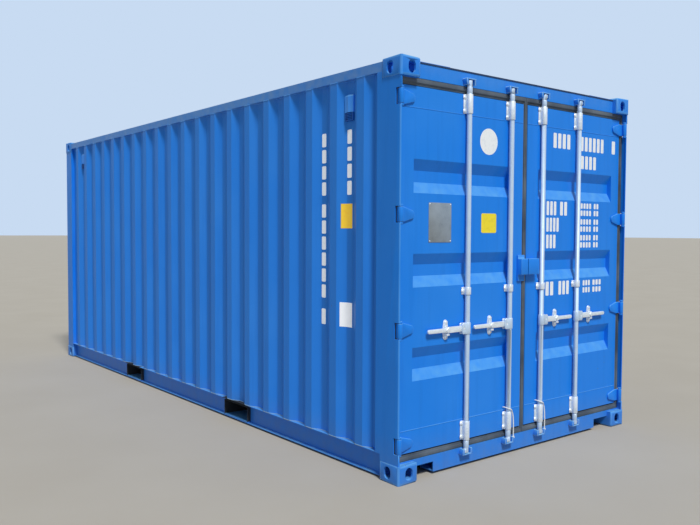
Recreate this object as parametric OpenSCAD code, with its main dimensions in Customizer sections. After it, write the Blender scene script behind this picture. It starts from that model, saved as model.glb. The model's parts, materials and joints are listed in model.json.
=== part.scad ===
// Twenty-foot steel shipping container with two end doors, locking bars and swing handles.
// Millimetres. Z is up, Y runs along the length, and the doors close the end at -Y.
// The origin is on the ground, under the middle of the box.

/* [Overall] */
// Length over the corner castings
length = 6058; // [5400:2:7000]
// Width over the corner castings
width = 2438; // [2300:2:2600]
// Height over the corner castings
height = 2591; // [2400:1:2900]

/* [Corner castings] */
// Length of a casting, along the container
cast_l = 178; // [170:1:190]
// Width of a casting, across the container
cast_w = 162; // [155:1:170]
// Height of a casting
cast_h = 118; // [112:1:126]
// Thickness of the plate with the twist-lock hole
cast_plate = 28; // [24:1:32]
// Thickness of the other casting walls
cast_wall = 14; // [10:1:18]
// Radius of the casting's upright outer edge
cast_r = 14; // [8:1:20]
// Distance of the twist-lock hole from the end face
hole_end = 101.5; // [98:0.5:106]
// Distance of the twist-lock hole from the side face
hole_side = 89; // [86:0.5:92]
// Length of the twist-lock hole
lock_hole_l = 124.5; // [118:0.5:128]
// Width of the twist-lock hole
lock_hole_w = 63.5; // [60:0.5:66]
// Height of the lifting hole in the end and side faces
lift_hole_h = 79; // [72:1:82]
// Width of the lifting hole in the end and side faces
lift_hole_w = 60; // [48:1:64]
// Distance of the lifting holes from the top or bottom face
lift_hole_z = 61; // [58:1:64]

/* [Rear frame] */
// Gap between the frame's sides and the casting's sides
side_inset = 6; // [3:1:10]
// Distance of the rear posts' front edge from the casting face
post_inset = 8; // [4:1:14]
// Length of the rear post's side face, from the casting face
post_l = 224; // [210:2:240]
// Thickness of the rear post's outer plate
post_t = 6; // [5:1:8]
// Width of the channel inside the rear post, across the container
post_channel_w = 40; // [30:1:50]
// Length of the channel inside the rear post
post_channel_l = 113; // [100:1:120]
// Gap between the rear post's back edge and its channel
post_channel_gap = 2; // [1:1:6]
// Thickness of the channel inside the rear post
post_channel_t = 12; // [8:1:14]
// Width of the rear post's turned front lip
post_lip = 12; // [8:1:16]
// Distance of the header's and sill's face from the casting face
beam_inset = 44; // [42:1:48]
// Distance of the header's underside from the container's top face
header_low = 113; // [108:1:120]
// Height of the stop for the doors under the header
header_stop_h = 26; // [20:1:32]
// Gap between the container's top face and the top of the header
header_drop = 14; // [8:1:20]
// Wall of the header and the sill
beam_t = 6; // [4:1:10]
// Depth of the header and the sill along the container
beam_l = 118; // [105:1:130]
// Height of the sill's underside
sill_z = 17; // [12:1:24]
// Height of the sill's top
sill_top = 126; // [120:1:150]
// Distance from the middle to the notch at each end of the sill
notch_x = 880; // [840:5:920]
// Height of the ceiling of the sill's notches
notch_z = 82; // [70:1:90]

/* [Doors] */
// Distance of the door face from the casting face
door_inset = 49; // [47:1:52]
// Thickness of a door
door_t = 50; // [45:1:55]
// Distance of the doors' hinge edges from the casting side
door_side_gap = 54; // [50:1:60]
// Distance between the two doors at the middle
door_seam = 48; // [44:1:56]
// Gap between the sill's top and the doors' bottom edge
door_gap_low = 48; // [26:1:54]
// Gap between the doors' top edge and the header's underside
door_gap_top = 50; // [38:1:56]
// Width of the door's upright at the hinge side
stile_outer_w = 100; // [80:1:120]
// Width of the door's upright at the middle
stile_inner_w = 125; // [110:1:130]
// Height of the door's bottom rail
door_rail_h = 140; // [132:1:160]
// Height of the door's top rail
door_rail_top_h = 130; // [120:1:150]
// Wall of the door's uprights and rails
door_wall = 3.2; // [2.5:0.1:5]
// Thickness of the door's pressed sheet
door_sheet = 2; // [1.6:0.1:3]
// Depth of the pressed recesses in the door
press_depth = 36; // [24:1:40]
// Height of the sloping side of a recess
press_slope = 68; // [50:1:76]
// Height of the flat floor of a recess
press_flat = 72; // [50:1:90]
// Distance from one recess to the next
press_step = 582; // [560:1:600]
// Gap that moving pieces keep from their neighbours
clear = 5; // [4:0.5:6]
// Thickness of the door gasket
gasket_t = 30; // [20:1:34]
// Width of the gasket in the seam between the doors
gasket_mid_w = 16; // [10:1:18]
// Distance of the gasket behind the door face
gasket_inset = 15; // [8:1:15]

/* [Hinges] */
// Distance of the hinge pins from the casting side
pin_side = 23; // [21:1:25]
// Distance of the hinge pins from the casting face
pin_end = 20; // [18:1:22]
// Diameter of a hinge pin
pin_d = 20; // [16:1:22]
// Radius of the lugs' rounded front
lug_r = 14; // [12:0.5:15]
// Gap between a hinge pin and its blade
pin_gap = 0.1; // [0.05:0.01:0.3]
// Radius of the blade's knuckle
knuckle_r = 16; // [14:0.5:17]
// Height of a hinge blade
blade_h = 90; // [76:1:100]
// Thickness of a hinge blade
blade_t = 12; // [8:1:12]
// Length of a hinge blade from its pin
blade_l = 130; // [110:1:150]
// Length of a blade's full-height part from its pin
blade_full = 40; // [30:1:60]
// Height of a blade's rounded tip
blade_tip_h = 56; // [40:1:70]
// Thickness of the lugs above and below a blade
lug_t = 14; // [10:1:18]
// Gap between a blade and its lugs
lug_gap = 1; // [0.5:0.5:3]
// Distance of the lowest hinge from the door's bottom edge
hinge_low = 62; // [56:1:86]
// Distance of the highest hinge from the door's top edge
hinge_top = 77; // [60:1:90]
// Gap between a blade's end and the cut-out in the post
slot_gap = 4; // [3:0.5:6]

/* [Locking bars] */
// Diameter of a locking bar
bar_d = 34; // [30:1:36]
// Distance of the bars' axes from the casting face
bar_end = 25; // [24:1:27]
// Distance from the middle to the inner bars
bar_x_in = 175; // [160:1:200]
// Distance from the middle to the outer bars
bar_x_out = 598; // [570:1:620]
// Reach of the bars below the sill's top
bar_over_low = 32; // [26:1:60]
// Reach of the bars above the header's underside
bar_over_top = 36; // [30:1:54]
// Radius of the thick neck between a bearing bracket and a cam
neck_r = 18.5; // [18:0.5:22]
// Height of a cam on the end of a bar
cam_h = 24; // [20:1:36]
// Width of a cam's nose
cam_w = 26; // [22:1:30]
// Reach of a cam from the bar's axis
cam_r = 25; // [22:0.5:25]
// Distance of a keeper's jaws from the bar's axis
jaw_x = 30; // [30:1:34]
// Thickness of a keeper's jaws at their tips
jaw_t = 9; // [7:1:10]
// Height of a keeper's jaws beyond the cam
jaw_over = 6; // [4:1:16]
// Reach of a keeper from the header or sill
jaw_l = 38; // [34:1:40]
// Width of the bridge over a keeper's jaws
bridge_w = 104; // [84:2:110]
// Thickness of the bridge over a keeper's jaws
bridge_t = 7; // [6:1:11]
// Gap between a bar and its bearings
bearing_gap = 0.3; // [0.1:0.1:1]
// Thickness of the strap round a bar
strap_t = 5; // [4:0.5:5.5]
// Width of a bearing bracket's plate
bracket_w = 70; // [60:1:80]
// Thickness of a bearing bracket's plate
bracket_t = 5; // [4:0.5:6]
// Height of a bearing bracket
bracket_h = 124; // [110:1:130]
// Distance of the bearing brackets from the door's top and bottom edges
bracket_edge = 5; // [2:1:10]
// Gap between the doors' top edge and the top brackets
bracket_top_edge = 1; // [0:0.5:6]
// Height of a middle guide
guide_h = 48; // [36:1:54]
// Height of the middle of the middle guides
guide_z = 1158; // [1120:1:1190]

/* [Handles] */
// Height of the handles
handle_z = 915; // [900:1:960]
// Distance of a handle's pin from the bar's axis
handle_pin_x = 42; // [40:1:46]
// Diameter of a handle's pin
handle_pin_d = 12; // [10:1:14]
// Gap between a handle's pin and its hub
handle_pin_gap = 0.1; // [0.05:0.01:0.3]
// Reach of a handle from the bar's axis
handle_l = 360; // [330:1:380]
// Height of a handle's arm
handle_h = 38; // [30:1:42]
// Height of a handle's grip
handle_tip_h = 26; // [20:1:30]
// Thickness of a handle
handle_t = 14; // [12:1:16]
// Length over which a handle's arm narrows to its grip
handle_taper = 25; // [15:1:60]
// Size of the diamond on the front of a handle
diamond = 44; // [36:1:50]
// Thickness of the diamond on the front of a handle
diamond_t = 5; // [4:0.5:8]
// Gap between a handle and each cheek of its hub
cheek_gap = 1; // [0.5:0.5:2]
// Thickness of each cheek of a hub
cheek_t = 8; // [6:1:9]
// Height of a hub's cheeks
cheek_h = 72; // [60:1:78]
// Reach of a hub's cheeks from the bar's axis
cheek_l = 60; // [56:1:66]
// Height of the collar on the bar
collar_h = 72; // [60:1:78]
// Radius of the collar on the bar
collar_r = 22; // [20:0.5:22]
// Distance of a handle's retainer from the bar's axis
retainer_x = 183; // [160:1:210]
// Height of a retainer's plate
retainer_h = 130; // [110:1:140]
// Width of a retainer's plate where the handle crosses it
retainer_w = 52; // [44:1:58]
// Radius of the round end above the handle
lobe_r = 18; // [15:0.5:20]
// Radius of the round end below the handle
lobe_low_r = 20; // [16:0.5:22]
// Thickness of a retainer's plate
retainer_t = 5; // [4:0.5:6]
// Thickness of the boss on a retainer's plate
boss_t = 7; // [4:0.5:8]
// Gap between the edges of a retainer's plate and its boss
boss_edge = 6; // [4:0.5:8]
// Width of a retainer's ledge
ledge_w = 24; // [20:1:40]
// Height of a retainer's ledge
ledge_h = 12; // [8:1:16]
// Reach of a retainer's ledge from the door
ledge_l = 33; // [30:1:44]

/* [Lock box] */
// Height of the lock box's underside
lock_z = 1246; // [1240:1:1270]
// Height of the lock box
lock_h = 110; // [100:1:125]
// Reach of the lock box from the door
lock_l = 46; // [36:1:47]
// Reach of the lock box over the right door
lock_x = 114; // [100:1:130]
// Reach of the lock box over the left door
lock_x_left = 76; // [60:1:84]
// Slot between the two parts of the lock box
lock_slot = 8; // [8:1:12]
// Wall of the lock box
lock_wall = 5; // [4:0.5:6]
// Thickness of the flange behind the lock box, on the left door
lock_flange_t = 14; // [8:1:16]
// Height of the flange above the lock box
lock_flange_up = 26; // [16:1:34]
// Height of the flange below the lock box
lock_flange_down = 46; // [30:1:56]

/* [Side walls] */
// Thickness of the wall sheets
wall_t = 2; // [1.6:0.1:3]
// Depth of the side wall's folds
fold_depth = 36; // [30:1:40]
// Distance from one fold to the next
fold_pitch = 278; // [260:1:290]
// Length of a fold's outer flat
fold_flat = 72; // [60:1:80]
// Length of a fold's slope
fold_slope = 68; // [60:1:75]
// Least flat length between the last fold and a post
fold_end = 20; // [10:1:40]
// Width of a ventilator
vent_w = 84; // [74:1:90]
// Height of a ventilator
vent_h = 168; // [150:1:190]
// Reach of a ventilator from the wall
vent_l = 24; // [18:1:30]
// Distance of the ventilators from the top side rail
vent_drop = 90; // [50:1:105]
// Size of the slopes round a ventilator's face
vent_edge = 6; // [4:1:8]

/* [Rails] */
// Size of the square top side rail
top_rail = 60; // [54:1:66]
// Wall of the top side rail
top_rail_t = 3; // [3:0.5:5]
// Gap between the container's top face and the top side rail
top_drop = 16; // [14:1:20]
// Height of the bottom side rail's underside
low_rail_z = 13; // [12:1:18]
// Height of the bottom side rail's top
low_rail_top = 165; // [160:1:170]
// Width of the bottom side rail's upper flange
low_flange = 48; // [44:1:52]
// Width of the bottom side rail's lower flange
low_flange_in = 30; // [26:1:40]
// Thickness of the bottom side rail
low_rail_t = 4.5; // [4:0.5:6]

/* [Front end] */
// Width of the front post, across the container
front_post_w = 90; // [80:1:110]
// Wall of the front post
front_post_t = 6; // [5:1:8]
// Gap between the front frame's face and the casting face
front_inset = 8; // [6:1:12]
// Depth of the front rails
front_rail_l = 60; // [50:1:70]
// Wall of the front rails
front_rail_t = 4; // [3:0.5:6]
// Depth of the front wall's folds
front_depth = 45.6; // [36:0.1:50]
// Distance from one front fold to the next
front_pitch = 250; // [230:1:260]
// Length of a front fold's outer flat
front_flat = 110; // [90:1:120]
// Length of a front fold's slope
front_slope = 18; // [14:1:24]

/* [Roof] */
// Depth of the roof's folds
roof_depth = 20; // [14:1:24]
// Distance from one roof fold to the next
roof_pitch = 209; // [190:1:220]
// Length of a roof fold's upper flat
roof_flat = 91; // [80:1:100]
// Length of a roof fold's slope
roof_slope = 13.5; // [10:0.5:20]
// Gap between the container's top face and the roof's upper flats
roof_drop = 8; // [6:1:12]
// Width of the plates that guard the roof's corners
guard_w = 300; // [250:10:400]
// Gap between those plates and the edges of the header
guard_edge = 3; // [0:1:10]
// Thickness of the plates that guard the roof's corners
guard_t = 4; // [3:0.5:6]
// Thickness of the flat plates at the roof's ends
roof_end_t = 3; // [2:0.5:5]

/* [Floor] */
// Height of the floor above the bottom side rails
floor_rise = 7; // [4:1:12]
// Thickness of the floor boards
floor_t = 28; // [24:1:30]
// Gap between floor boards
floor_gap = 2; // [1:1:4]
// Width of the steel strip along the middle of the floor
strip_w = 150; // [100:5:200]
// Thickness of the steel strip along the middle of the floor
strip_t = 4; // [3:0.5:6]
// Height of a crossmember
cross_h = 122; // [115:1:126]
// Width of a crossmember's flanges
cross_w = 45; // [40:1:50]
// Thickness of a crossmember
cross_t = 4; // [4:0.5:6]
// Distance from one crossmember to the next
cross_step = 300; // [280:5:310]
// Distance from the middle to the first crossmember beyond the fork pockets
cross_far = 1290; // [1280:5:1310]
// Least distance from the last crossmember to the front frame
cross_end = 60; // [40:5:100]

/* [Fork pockets] */
// Distance from the middle to the middle of a fork pocket
pocket_y = 1040; // [1000:5:1060]
// Width of a fork pocket
pocket_w = 360; // [340:2:380]
// Height of a fork pocket's floor
pocket_z = 25; // [24:1:30]
// Thickness of a fork pocket's upper plate and sides
pocket_t = 4; // [4:0.5:4]
// Width of the straps under a fork pocket, across the container
strap_w = 200; // [150:10:300]

/* [Tie ropes] */
// Diameter of a tie rope
rope_d = 9; // [6:0.5:9]
// Radius of the knot at a rope's end
knot_r = 9; // [8:0.5:12]

/* [Hidden] */
eps = 1;
blue = "#207ade";
blue_dark = "#285eaa";
zinc = "#c8d4e0";
rubber_black = "#33363e";
wood = "#a5754a";
floor_steel = "#6d6f72";
rope_white = "#eef0ee";
half_l = length / 2;
half_w = width / 2;
cast_x = half_w - cast_w;
cast_y = half_l - cast_l;
side_x = half_w - side_inset;
post_y = half_l - post_inset;
post_y_in = half_l - post_l;
post_x_in = side_x - post_t - post_channel_w;
channel_y_in = post_y_in + post_channel_gap;
channel_y = channel_y_in + post_channel_l;
beam_y = half_l - beam_inset;
beam_y_in = beam_y - beam_l;
header_z = height - header_low;
header_top = height - header_drop;
opening_top = header_z - header_stop_h;
door_y = half_l - door_inset;
door_y_in = door_y - door_t;
door_x = half_w - door_side_gap;
door_z = sill_top + door_gap_low;
door_top = header_z - door_gap_top;
seam_x = door_seam / 2;
stile_x_in = seam_x + stile_inner_w;
stile_x_out = door_x - stile_outer_w;
press_z = [for (i = [-1:1]) (door_z + door_top) / 2 + i * press_step];
pin_x = half_w - pin_side;
pin_y = half_l - pin_end;
pin_r = pin_d / 2;
hinge_count = 4;
hinge_z = door_z + hinge_low;
hinge_step = (door_top - hinge_top - hinge_z) / (hinge_count - 1);
slot_y = door_y - slot_gap;
slot_h = blade_h + 2 * (lug_gap + slot_gap);
lip_slot_h = blade_h + 2 * (lug_t + 2 * lug_gap);
bar_y = half_l - bar_end;
bar_r = bar_d / 2;
bar_z = sill_top - bar_over_low;
bar_top = header_z + bar_over_top;
neck_top_z = door_top - bracket_top_edge + clear;
strap_r = bar_r + bearing_gap + strap_t;
jaw_y = beam_y + jaw_l;
hub_gap = handle_t + 2 * cheek_gap;
top_rail_z = height - top_drop - top_rail;
rail_x_in = side_x - low_flange;
rail_x_out = rail_x_in + low_flange_in;
cross_x = rail_x_in - low_rail_t;
fold_outer = side_x;
fold_inner = side_x - fold_depth;
fold_half = half_l - max(post_l, cast_l);
fold_count = floor((2 * fold_half - 2 * fold_end) / fold_pitch);
vent_z = top_rail_z - vent_drop - vent_h;
front_y = half_l - front_inset;
front_x = side_x - front_post_w;
front_y_in = front_y - front_rail_l;
front_count = floor((2 * front_x - 2 * fold_end) / front_pitch);
roof_z = height - roof_drop - roof_depth;
roof_x = side_x - top_rail;
roof_count = floor((2 * cast_y - 2 * fold_end) / roof_pitch);
floor_z = low_rail_top + floor_rise;
floor_low = floor_z - floor_t;
cross_near = [for (i = [0:2]) cross_step / 2 + i * cross_step];
cross_out = [for (y = [cross_far : cross_step : front_y_in - cross_w - cross_end]) y];
pocket_edge = pocket_w / 2 + pocket_t;
pocket_top = floor_low - pocket_t;
strap_z = low_rail_z + low_rail_t;
rope_sides = 8;
// Route of a tie rope: sideways from the bar, out from the bar's axis, and height
ROPE = [
    [-27, 24, 333], [-27, 14, 334], [-25, 3, 333], [-20, -10, 330], [-11, -20, 326], [1, -23, 321],
    [13, -19, 315], [23, -12, 309], [32, -7, 301], [39, -4, 291], [45, -3, 279], [49, -2, 265],
    [52, -2, 249], [54, -2, 231], [55, -2, 212], [56, -2, 191], [56, -2, 168], [56, -2, 144], [56, -2, 121]
];

// Box between two corners
module span(x0, x1, y0, y1, z0, z1) {
    translate([x0, y0, z0]) cube([x1 - x0, y1 - y0, z1 - z0]);
}

// The children, and their mirror image on the other side
module both_sides() {
    children();
    mirror([1, 0, 0]) children();
}

// Places a piece made for the +X, +Y quarter on the left or the right door
module on_left() {
    mirror([0, 1, 0]) mirror([1, 0, 0]) children();
}

module on_right() {
    mirror([0, 1, 0]) children();
}

// Folded sheet's line: count folds of one pitch between two ends, as [along, across] points
function folds(a, b, count, pitch, flat, slope, low, high) = concat(
    [[a, low]],
    [for (i = [0:count - 1]) let (c = (i - (count - 1) / 2) * pitch + (a + b) / 2) each [
        [c - flat / 2 - slope, low], [c - flat / 2, high], [c + flat / 2, high], [c + flat / 2 + slope, low]
    ]],
    [[b, low]]
);

// Outline of a sheet of thickness t that follows a line
function thick(line, t) = concat(line, [for (i = [len(line) - 1 : -1 : 0]) line[i] + [0, t]]);

// The same outline with its two directions swapped
function swapped(line) = [for (p = line) [p[1], p[0]]];

// Hole with round ends: l long along X and w wide
module round_slot(l, w) {
    square([l - w, w], center = true);
    for (s = [-1, 1]) translate([s * (l - w) / 2, 0]) circle(d = w, $fn = 48);
}

// Casting for the corner at +X, +Y, with its twist-lock face at z = 0 and its body above
module casting() {
    difference() {
        linear_extrude(cast_h) difference() {
            translate([cast_x, cast_y]) square([cast_w, cast_l]);
            translate([half_w - cast_r, half_l - cast_r]) difference() {
                square(cast_r + eps);
                circle(r = cast_r, $fn = 48);
            }
        }
        span(cast_x + cast_wall, half_w - cast_wall, cast_y + cast_wall, half_l - cast_wall,
            cast_plate, cast_h - cast_wall);
        translate([half_w - hole_side, half_l - hole_end, -eps]) linear_extrude(cast_plate + 2 * eps)
            rotate(90) round_slot(lock_hole_l, lock_hole_w);
        translate([half_w - hole_side, half_l + eps, lift_hole_z]) rotate([90, 0, 0])
            linear_extrude(cast_wall + 2 * eps) rotate(90) round_slot(lift_hole_h, lift_hole_w);
        translate([half_w - cast_wall - eps, half_l - hole_end, lift_hole_z]) rotate([90, 0, 90])
            linear_extrude(cast_wall + 2 * eps) rotate(90) round_slot(lift_hole_h, lift_hole_w);
    }
}

module end_castings() {
    both_sides() {
        casting();
        translate([0, 0, height]) mirror([0, 0, 1]) casting();
    }
}

module rear_castings() {
    color(blue) mirror([0, 1, 0]) end_castings();
}

module front_castings() {
    color(blue_dark) end_castings();
}

// Where the hinges stand
module at_hinges() {
    for (i = [0:hinge_count - 1]) translate([0, 0, hinge_z + i * hinge_step]) children();
}

// Part of the rear post's inner channel between two distances from the middle
module post_channel(y0, y1) {
    intersection() {
        translate([post_x_in, channel_y_in]) difference() {
            square([post_channel_w, post_channel_l]);
            translate([post_channel_t, post_channel_t])
                square([post_channel_w, post_channel_l - 2 * post_channel_t]);
        }
        translate([post_x_in, y0]) square([post_channel_w, y1 - y0]);
    }
}

module rear_post() {
    difference() {
        union() {
            span(side_x - post_t, side_x, cast_y, post_y, cast_h, height - cast_h);
            span(side_x - post_t, side_x, post_y_in, cast_y, low_rail_top, top_rail_z);
            span(side_x - post_lip, side_x - post_t, post_y - post_t, post_y, cast_h, height - cast_h);
            translate([0, 0, cast_h]) linear_extrude(height - 2 * cast_h) post_channel(cast_y, channel_y);
            translate([0, 0, low_rail_top]) linear_extrude(top_rail_z - low_rail_top)
                post_channel(channel_y_in, cast_y);
        }
        at_hinges() span(side_x - post_lip - eps, side_x + eps, slot_y, post_y + eps,
            -slot_h / 2, slot_h / 2);
        at_hinges() span(side_x - post_lip - eps, side_x - post_t, post_y - post_t - eps, post_y + eps,
            -lip_slot_h / 2, lip_slot_h / 2);
    }
}

module rear_posts() {
    color(blue_dark) mirror([0, 1, 0]) both_sides() rear_post();
}

module front_posts() {
    color(blue_dark) both_sides() difference() {
        span(front_x, side_x, cast_y, front_y, cast_h, height - cast_h);
        span(front_x + front_post_t, side_x - front_post_t, cast_y + front_post_t,
            front_y - front_post_t, cast_h - eps, height - cast_h + eps);
    }
}

module door_header() {
    color(blue) mirror([0, 1, 0]) {
        difference() {
            span(-cast_x, cast_x, beam_y_in, beam_y, header_z, header_top);
            span(-cast_x - eps, cast_x + eps, beam_y_in + beam_t, beam_y - beam_t,
                header_z + beam_t, header_top - beam_t);
        }
        span(-cast_x, cast_x, beam_y_in, channel_y, opening_top, header_z);
        both_sides()
            span(cast_x, post_x_in, beam_y_in, channel_y, opening_top, min(header_z, height - cast_h));
    }
}

module door_sill() {
    color(blue) mirror([0, 1, 0]) {
        difference() {
            span(-cast_x, cast_x, beam_y_in, beam_y, sill_z, cast_h);
            span(-cast_x - eps, cast_x + eps, beam_y_in + beam_t, beam_y - beam_t,
                sill_z + beam_t, cast_h + eps);
            both_sides() span(notch_x, cast_x + eps, beam_y_in - eps, beam_y + eps, sill_z - eps, notch_z);
        }
        span(-side_x + post_t, side_x - post_t, channel_y, beam_y, cast_h, sill_top);
        span(-post_x_in, post_x_in, beam_y_in, channel_y, cast_h, floor_z);
    }
}

module front_top_rail() {
    color(blue) difference() {
        span(-cast_x, cast_x, front_y_in, front_y, height - cast_h, header_top);
        span(-cast_x - eps, cast_x + eps, front_y_in + front_rail_t, front_y - front_rail_t,
            height - cast_h + front_rail_t, header_top - front_rail_t);
    }
}

module front_bottom_rail() {
    color(blue) difference() {
        union() {
            span(-cast_x, cast_x, front_y_in, front_y, sill_z, cast_h);
            span(-front_x, front_x, front_y_in, front_y, cast_h, low_rail_top);
        }
        span(-front_x - eps, front_x + eps, front_y_in + front_rail_t, front_y - front_rail_t,
            sill_z + front_rail_t, low_rail_top - front_rail_t);
    }
}

module top_side_rails() {
    color(blue) both_sides() difference() {
        span(side_x - top_rail, side_x, -cast_y, cast_y, top_rail_z, top_rail_z + top_rail);
        span(side_x - top_rail + top_rail_t, side_x - top_rail_t, -cast_y - eps, cast_y + eps,
            top_rail_z + top_rail_t, top_rail_z + top_rail - top_rail_t);
    }
}

// Length of the bottom side rail at +X: a channel that opens outwards
module low_rail(y0, y1) {
    difference() {
        span(cross_x, side_x, y0, y1, low_rail_z, low_rail_top);
        span(rail_x_in, side_x + eps, y0 - eps, y1 + eps, strap_z, low_rail_top - low_rail_t);
        span(rail_x_out, side_x + eps, y0 - eps, y1 + eps, low_rail_z - eps, strap_z + eps);
    }
}

// The rails stop at the fork pockets, whose tops and straps join them
module bottom_side_rails() {
    color(blue) both_sides() {
        low_rail(-cast_y, -pocket_y - pocket_edge);
        low_rail(pocket_edge - pocket_y, pocket_y - pocket_edge);
        low_rail(pocket_y + pocket_edge, cast_y);
    }
}

// The two fork pockets' places
module at_pockets() {
    for (s = [-1, 1]) translate([0, s * pocket_y, 0]) children();
}

// Upper plates with the length of rail above them
module fork_pocket_tops() {
    color(blue_dark) at_pockets() {
        span(-rail_x_out, rail_x_out, -pocket_edge, pocket_edge, pocket_top, floor_low);
        both_sides() difference() {
            low_rail(-pocket_edge, pocket_edge);
            span(cross_x - eps, side_x + eps, -pocket_edge - eps, pocket_edge + eps,
                low_rail_z - eps, floor_low);
        }
    }
}

module fork_pocket_sides() {
    color(blue_dark) at_pockets() for (k = [-1, 1]) scale([1, k, 1])
        span(-rail_x_out, rail_x_out, pocket_w / 2, pocket_edge, pocket_z, pocket_top);
}

// Lower straps with the length of rail flange below them
module fork_pocket_straps() {
    color(blue_dark) at_pockets() both_sides() {
        span(cross_x - strap_w, rail_x_out, -pocket_edge, pocket_edge, strap_z, pocket_z);
        span(cross_x, rail_x_out, -pocket_edge, pocket_edge, low_rail_z, strap_z);
    }
}

// Wall at +X: a folded sheet from post to post
module side_wall() {
    inner = fold_inner - wall_t;
    line = folds(-fold_half, fold_half, fold_count, fold_pitch, fold_flat, fold_slope,
        inner, fold_outer - wall_t);
    full = concat([for (p = line) if (p != line[len(line) - 1]) p], [[cast_y, inner]]);
    translate([0, 0, low_rail_top]) linear_extrude(top_rail_z - low_rail_top)
        polygon(swapped(thick(full, wall_t)));
}

module left_side_wall() {
    color(blue) mirror([1, 0, 0]) side_wall();
}

module right_side_wall() {
    color(blue) side_wall();
}

module front_wall() {
    line = folds(-front_x, front_x, front_count, front_pitch, front_flat, front_slope,
        front_y - wall_t - front_depth, front_y - wall_t);
    color(blue) translate([0, 0, low_rail_top]) linear_extrude(height - cast_h - low_rail_top)
        polygon(thick(line, wall_t));
}

module roof_panel() {
    line = folds(-cast_y, cast_y, roof_count, roof_pitch, roof_flat, roof_slope,
        roof_z - wall_t, roof_z + roof_depth - wall_t);
    color(blue) translate([-roof_x, 0, 0]) rotate([90, 0, 90]) linear_extrude(2 * roof_x)
        polygon(thick(line, wall_t));
}

// Flat plates between the castings, from the folded roof to the end frames
module roof_end_plates() {
    color(blue) for (y = [[-beam_y_in, -cast_y], [cast_y, front_y_in]])
        span(-cast_x, cast_x, y[0], y[1], roof_z - roof_end_t, roof_z);
}

module roof_corner_plates() {
    color(blue) both_sides() for (y = [[-beam_y, -beam_y_in], [front_y_in, front_y]])
        span(cast_x - guard_w, cast_x, y[0] + guard_edge, y[1] - guard_edge,
            header_top, header_top + guard_t);
}

// Boards in two rows of three, cut out round the front posts
module floor_boards() {
    run = (front_y_in + beam_y_in - 2 * floor_gap) / 3;
    color(wood) both_sides() difference() {
        for (i = [0:2]) translate([0, i * (run + floor_gap) - beam_y_in, 0])
            span(strip_w / 2 + floor_gap, cross_x, 0, run, floor_low, floor_z);
        span(front_x - floor_gap, side_x, cast_y - floor_gap, front_y, floor_low - eps, floor_z + eps);
    }
}

// Steel hat along the middle of the floor
module floor_strip() {
    color(floor_steel) {
        span(-strip_w / 2, strip_w / 2, -beam_y_in, front_y_in, floor_z - strip_t, floor_z);
        both_sides()
            span(strip_w / 2 - strip_t, strip_w / 2, -beam_y_in, front_y_in, floor_low, floor_z - strip_t);
    }
}

// Channel beam across the container, with its web at y = 0 and its flanges towards +Y
module crossmember() {
    difference() {
        span(-cross_x, cross_x, 0, cross_w, floor_low - cross_h, floor_low);
        span(-cross_x - eps, cross_x + eps, cross_t, cross_w + eps, floor_low - cross_h + cross_t,
            floor_low - cross_t);
    }
}

module crossmembers() {
    color(blue_dark) for (s = [-1, 1]) scale([1, s, 1]) for (y = concat(cross_near, cross_out))
        translate([0, y, 0]) crossmember();
}

// Hood over the ventilation holes, in a trough of the wall at +X
module ventilator() {
    foot = fold_pitch / 2 - fold_flat / 2 - fold_slope;
    half = vent_w / 2;
    translate([fold_inner, 0, vent_z]) linear_extrude(vent_h) polygon([
        [0, -foot], [vent_edge, -half], [vent_l - vent_edge, -half], [vent_l, vent_edge - half],
        [vent_l, half - vent_edge], [vent_l - vent_edge, half], [vent_edge, half], [0, foot]
    ]);
}

module ventilators() {
    y = (fold_count / 2 - 1) * fold_pitch;
    color(blue) both_sides() for (s = [-1, 1]) translate([0, s * y, 0]) ventilator();
}

// Front of a lug from above: round about the pin, and cut off at the post's plate and lip
module lug_outline() {
    intersection() {
        union() {
            translate([pin_x, pin_y]) circle(r = lug_r, $fn = 48);
            translate([pin_x, pin_y - lug_r]) square(2 * lug_r);
        }
        square([side_x - post_t, post_y]);
    }
}

// Two lugs and the pin that they hold, at the +X side
module hinge_lug() {
    for (s = [-1, 1]) translate([0, 0, s * (blade_h / 2 + lug_gap + lug_t / 2)]) difference() {
        linear_extrude(lug_t, center = true) lug_outline();
        translate([pin_x, pin_y, 0]) cylinder(r = pin_r, h = lug_t + 2 * eps, center = true, $fn = 48);
    }
    translate([pin_x, pin_y, 0])
        cylinder(r = pin_r, h = blade_h + 2 * lug_gap + 2 * lug_t, center = true, $fn = 48);
}

module hinge_lugs() {
    color(blue) mirror([0, 1, 0]) both_sides() at_hinges() hinge_lug();
}

// Keeper for one bar, seen from the front: two jaws that widen upwards to a bridge
module keeper_front() {
    for (s = [-1, 1]) scale([s, 1]) polygon([
        [jaw_x, -jaw_over], [jaw_x + jaw_t, -jaw_over], [bridge_w / 2, cam_h + clear], [jaw_x, cam_h + clear]
    ]);
    translate([0, cam_h + clear]) polygon([
        [-bridge_w / 2, 0], [bridge_w / 2, 0], [bridge_w / 2 - bridge_t, bridge_t],
        [bridge_t - bridge_w / 2, bridge_t]
    ]);
}

// The same keeper as a solid whose sides slope in towards its front
module keeper() {
    tall = jaw_over + cam_h + clear + bridge_t;
    intersection() {
        translate([0, jaw_y, 0]) rotate([90, 0, 0]) linear_extrude(jaw_l) keeper_front();
        translate([0, 0, -jaw_over - eps]) linear_extrude(tall + 2 * eps) polygon([
            [-bridge_w / 2, beam_y], [bridge_w / 2, beam_y], [bridge_w / 2 - bridge_t, jaw_y],
            [bridge_t - bridge_w / 2, jaw_y]
        ]);
    }
}

module bar_keepers() {
    color(blue) mirror([0, 1, 0]) both_sides() for (x = [bar_x_in, bar_x_out]) translate([x, 0, 0]) {
        translate([0, 0, bar_top - cam_h]) keeper();
        translate([0, 0, bar_z + cam_h]) mirror([0, 0, 1]) keeper();
    }
}

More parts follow.
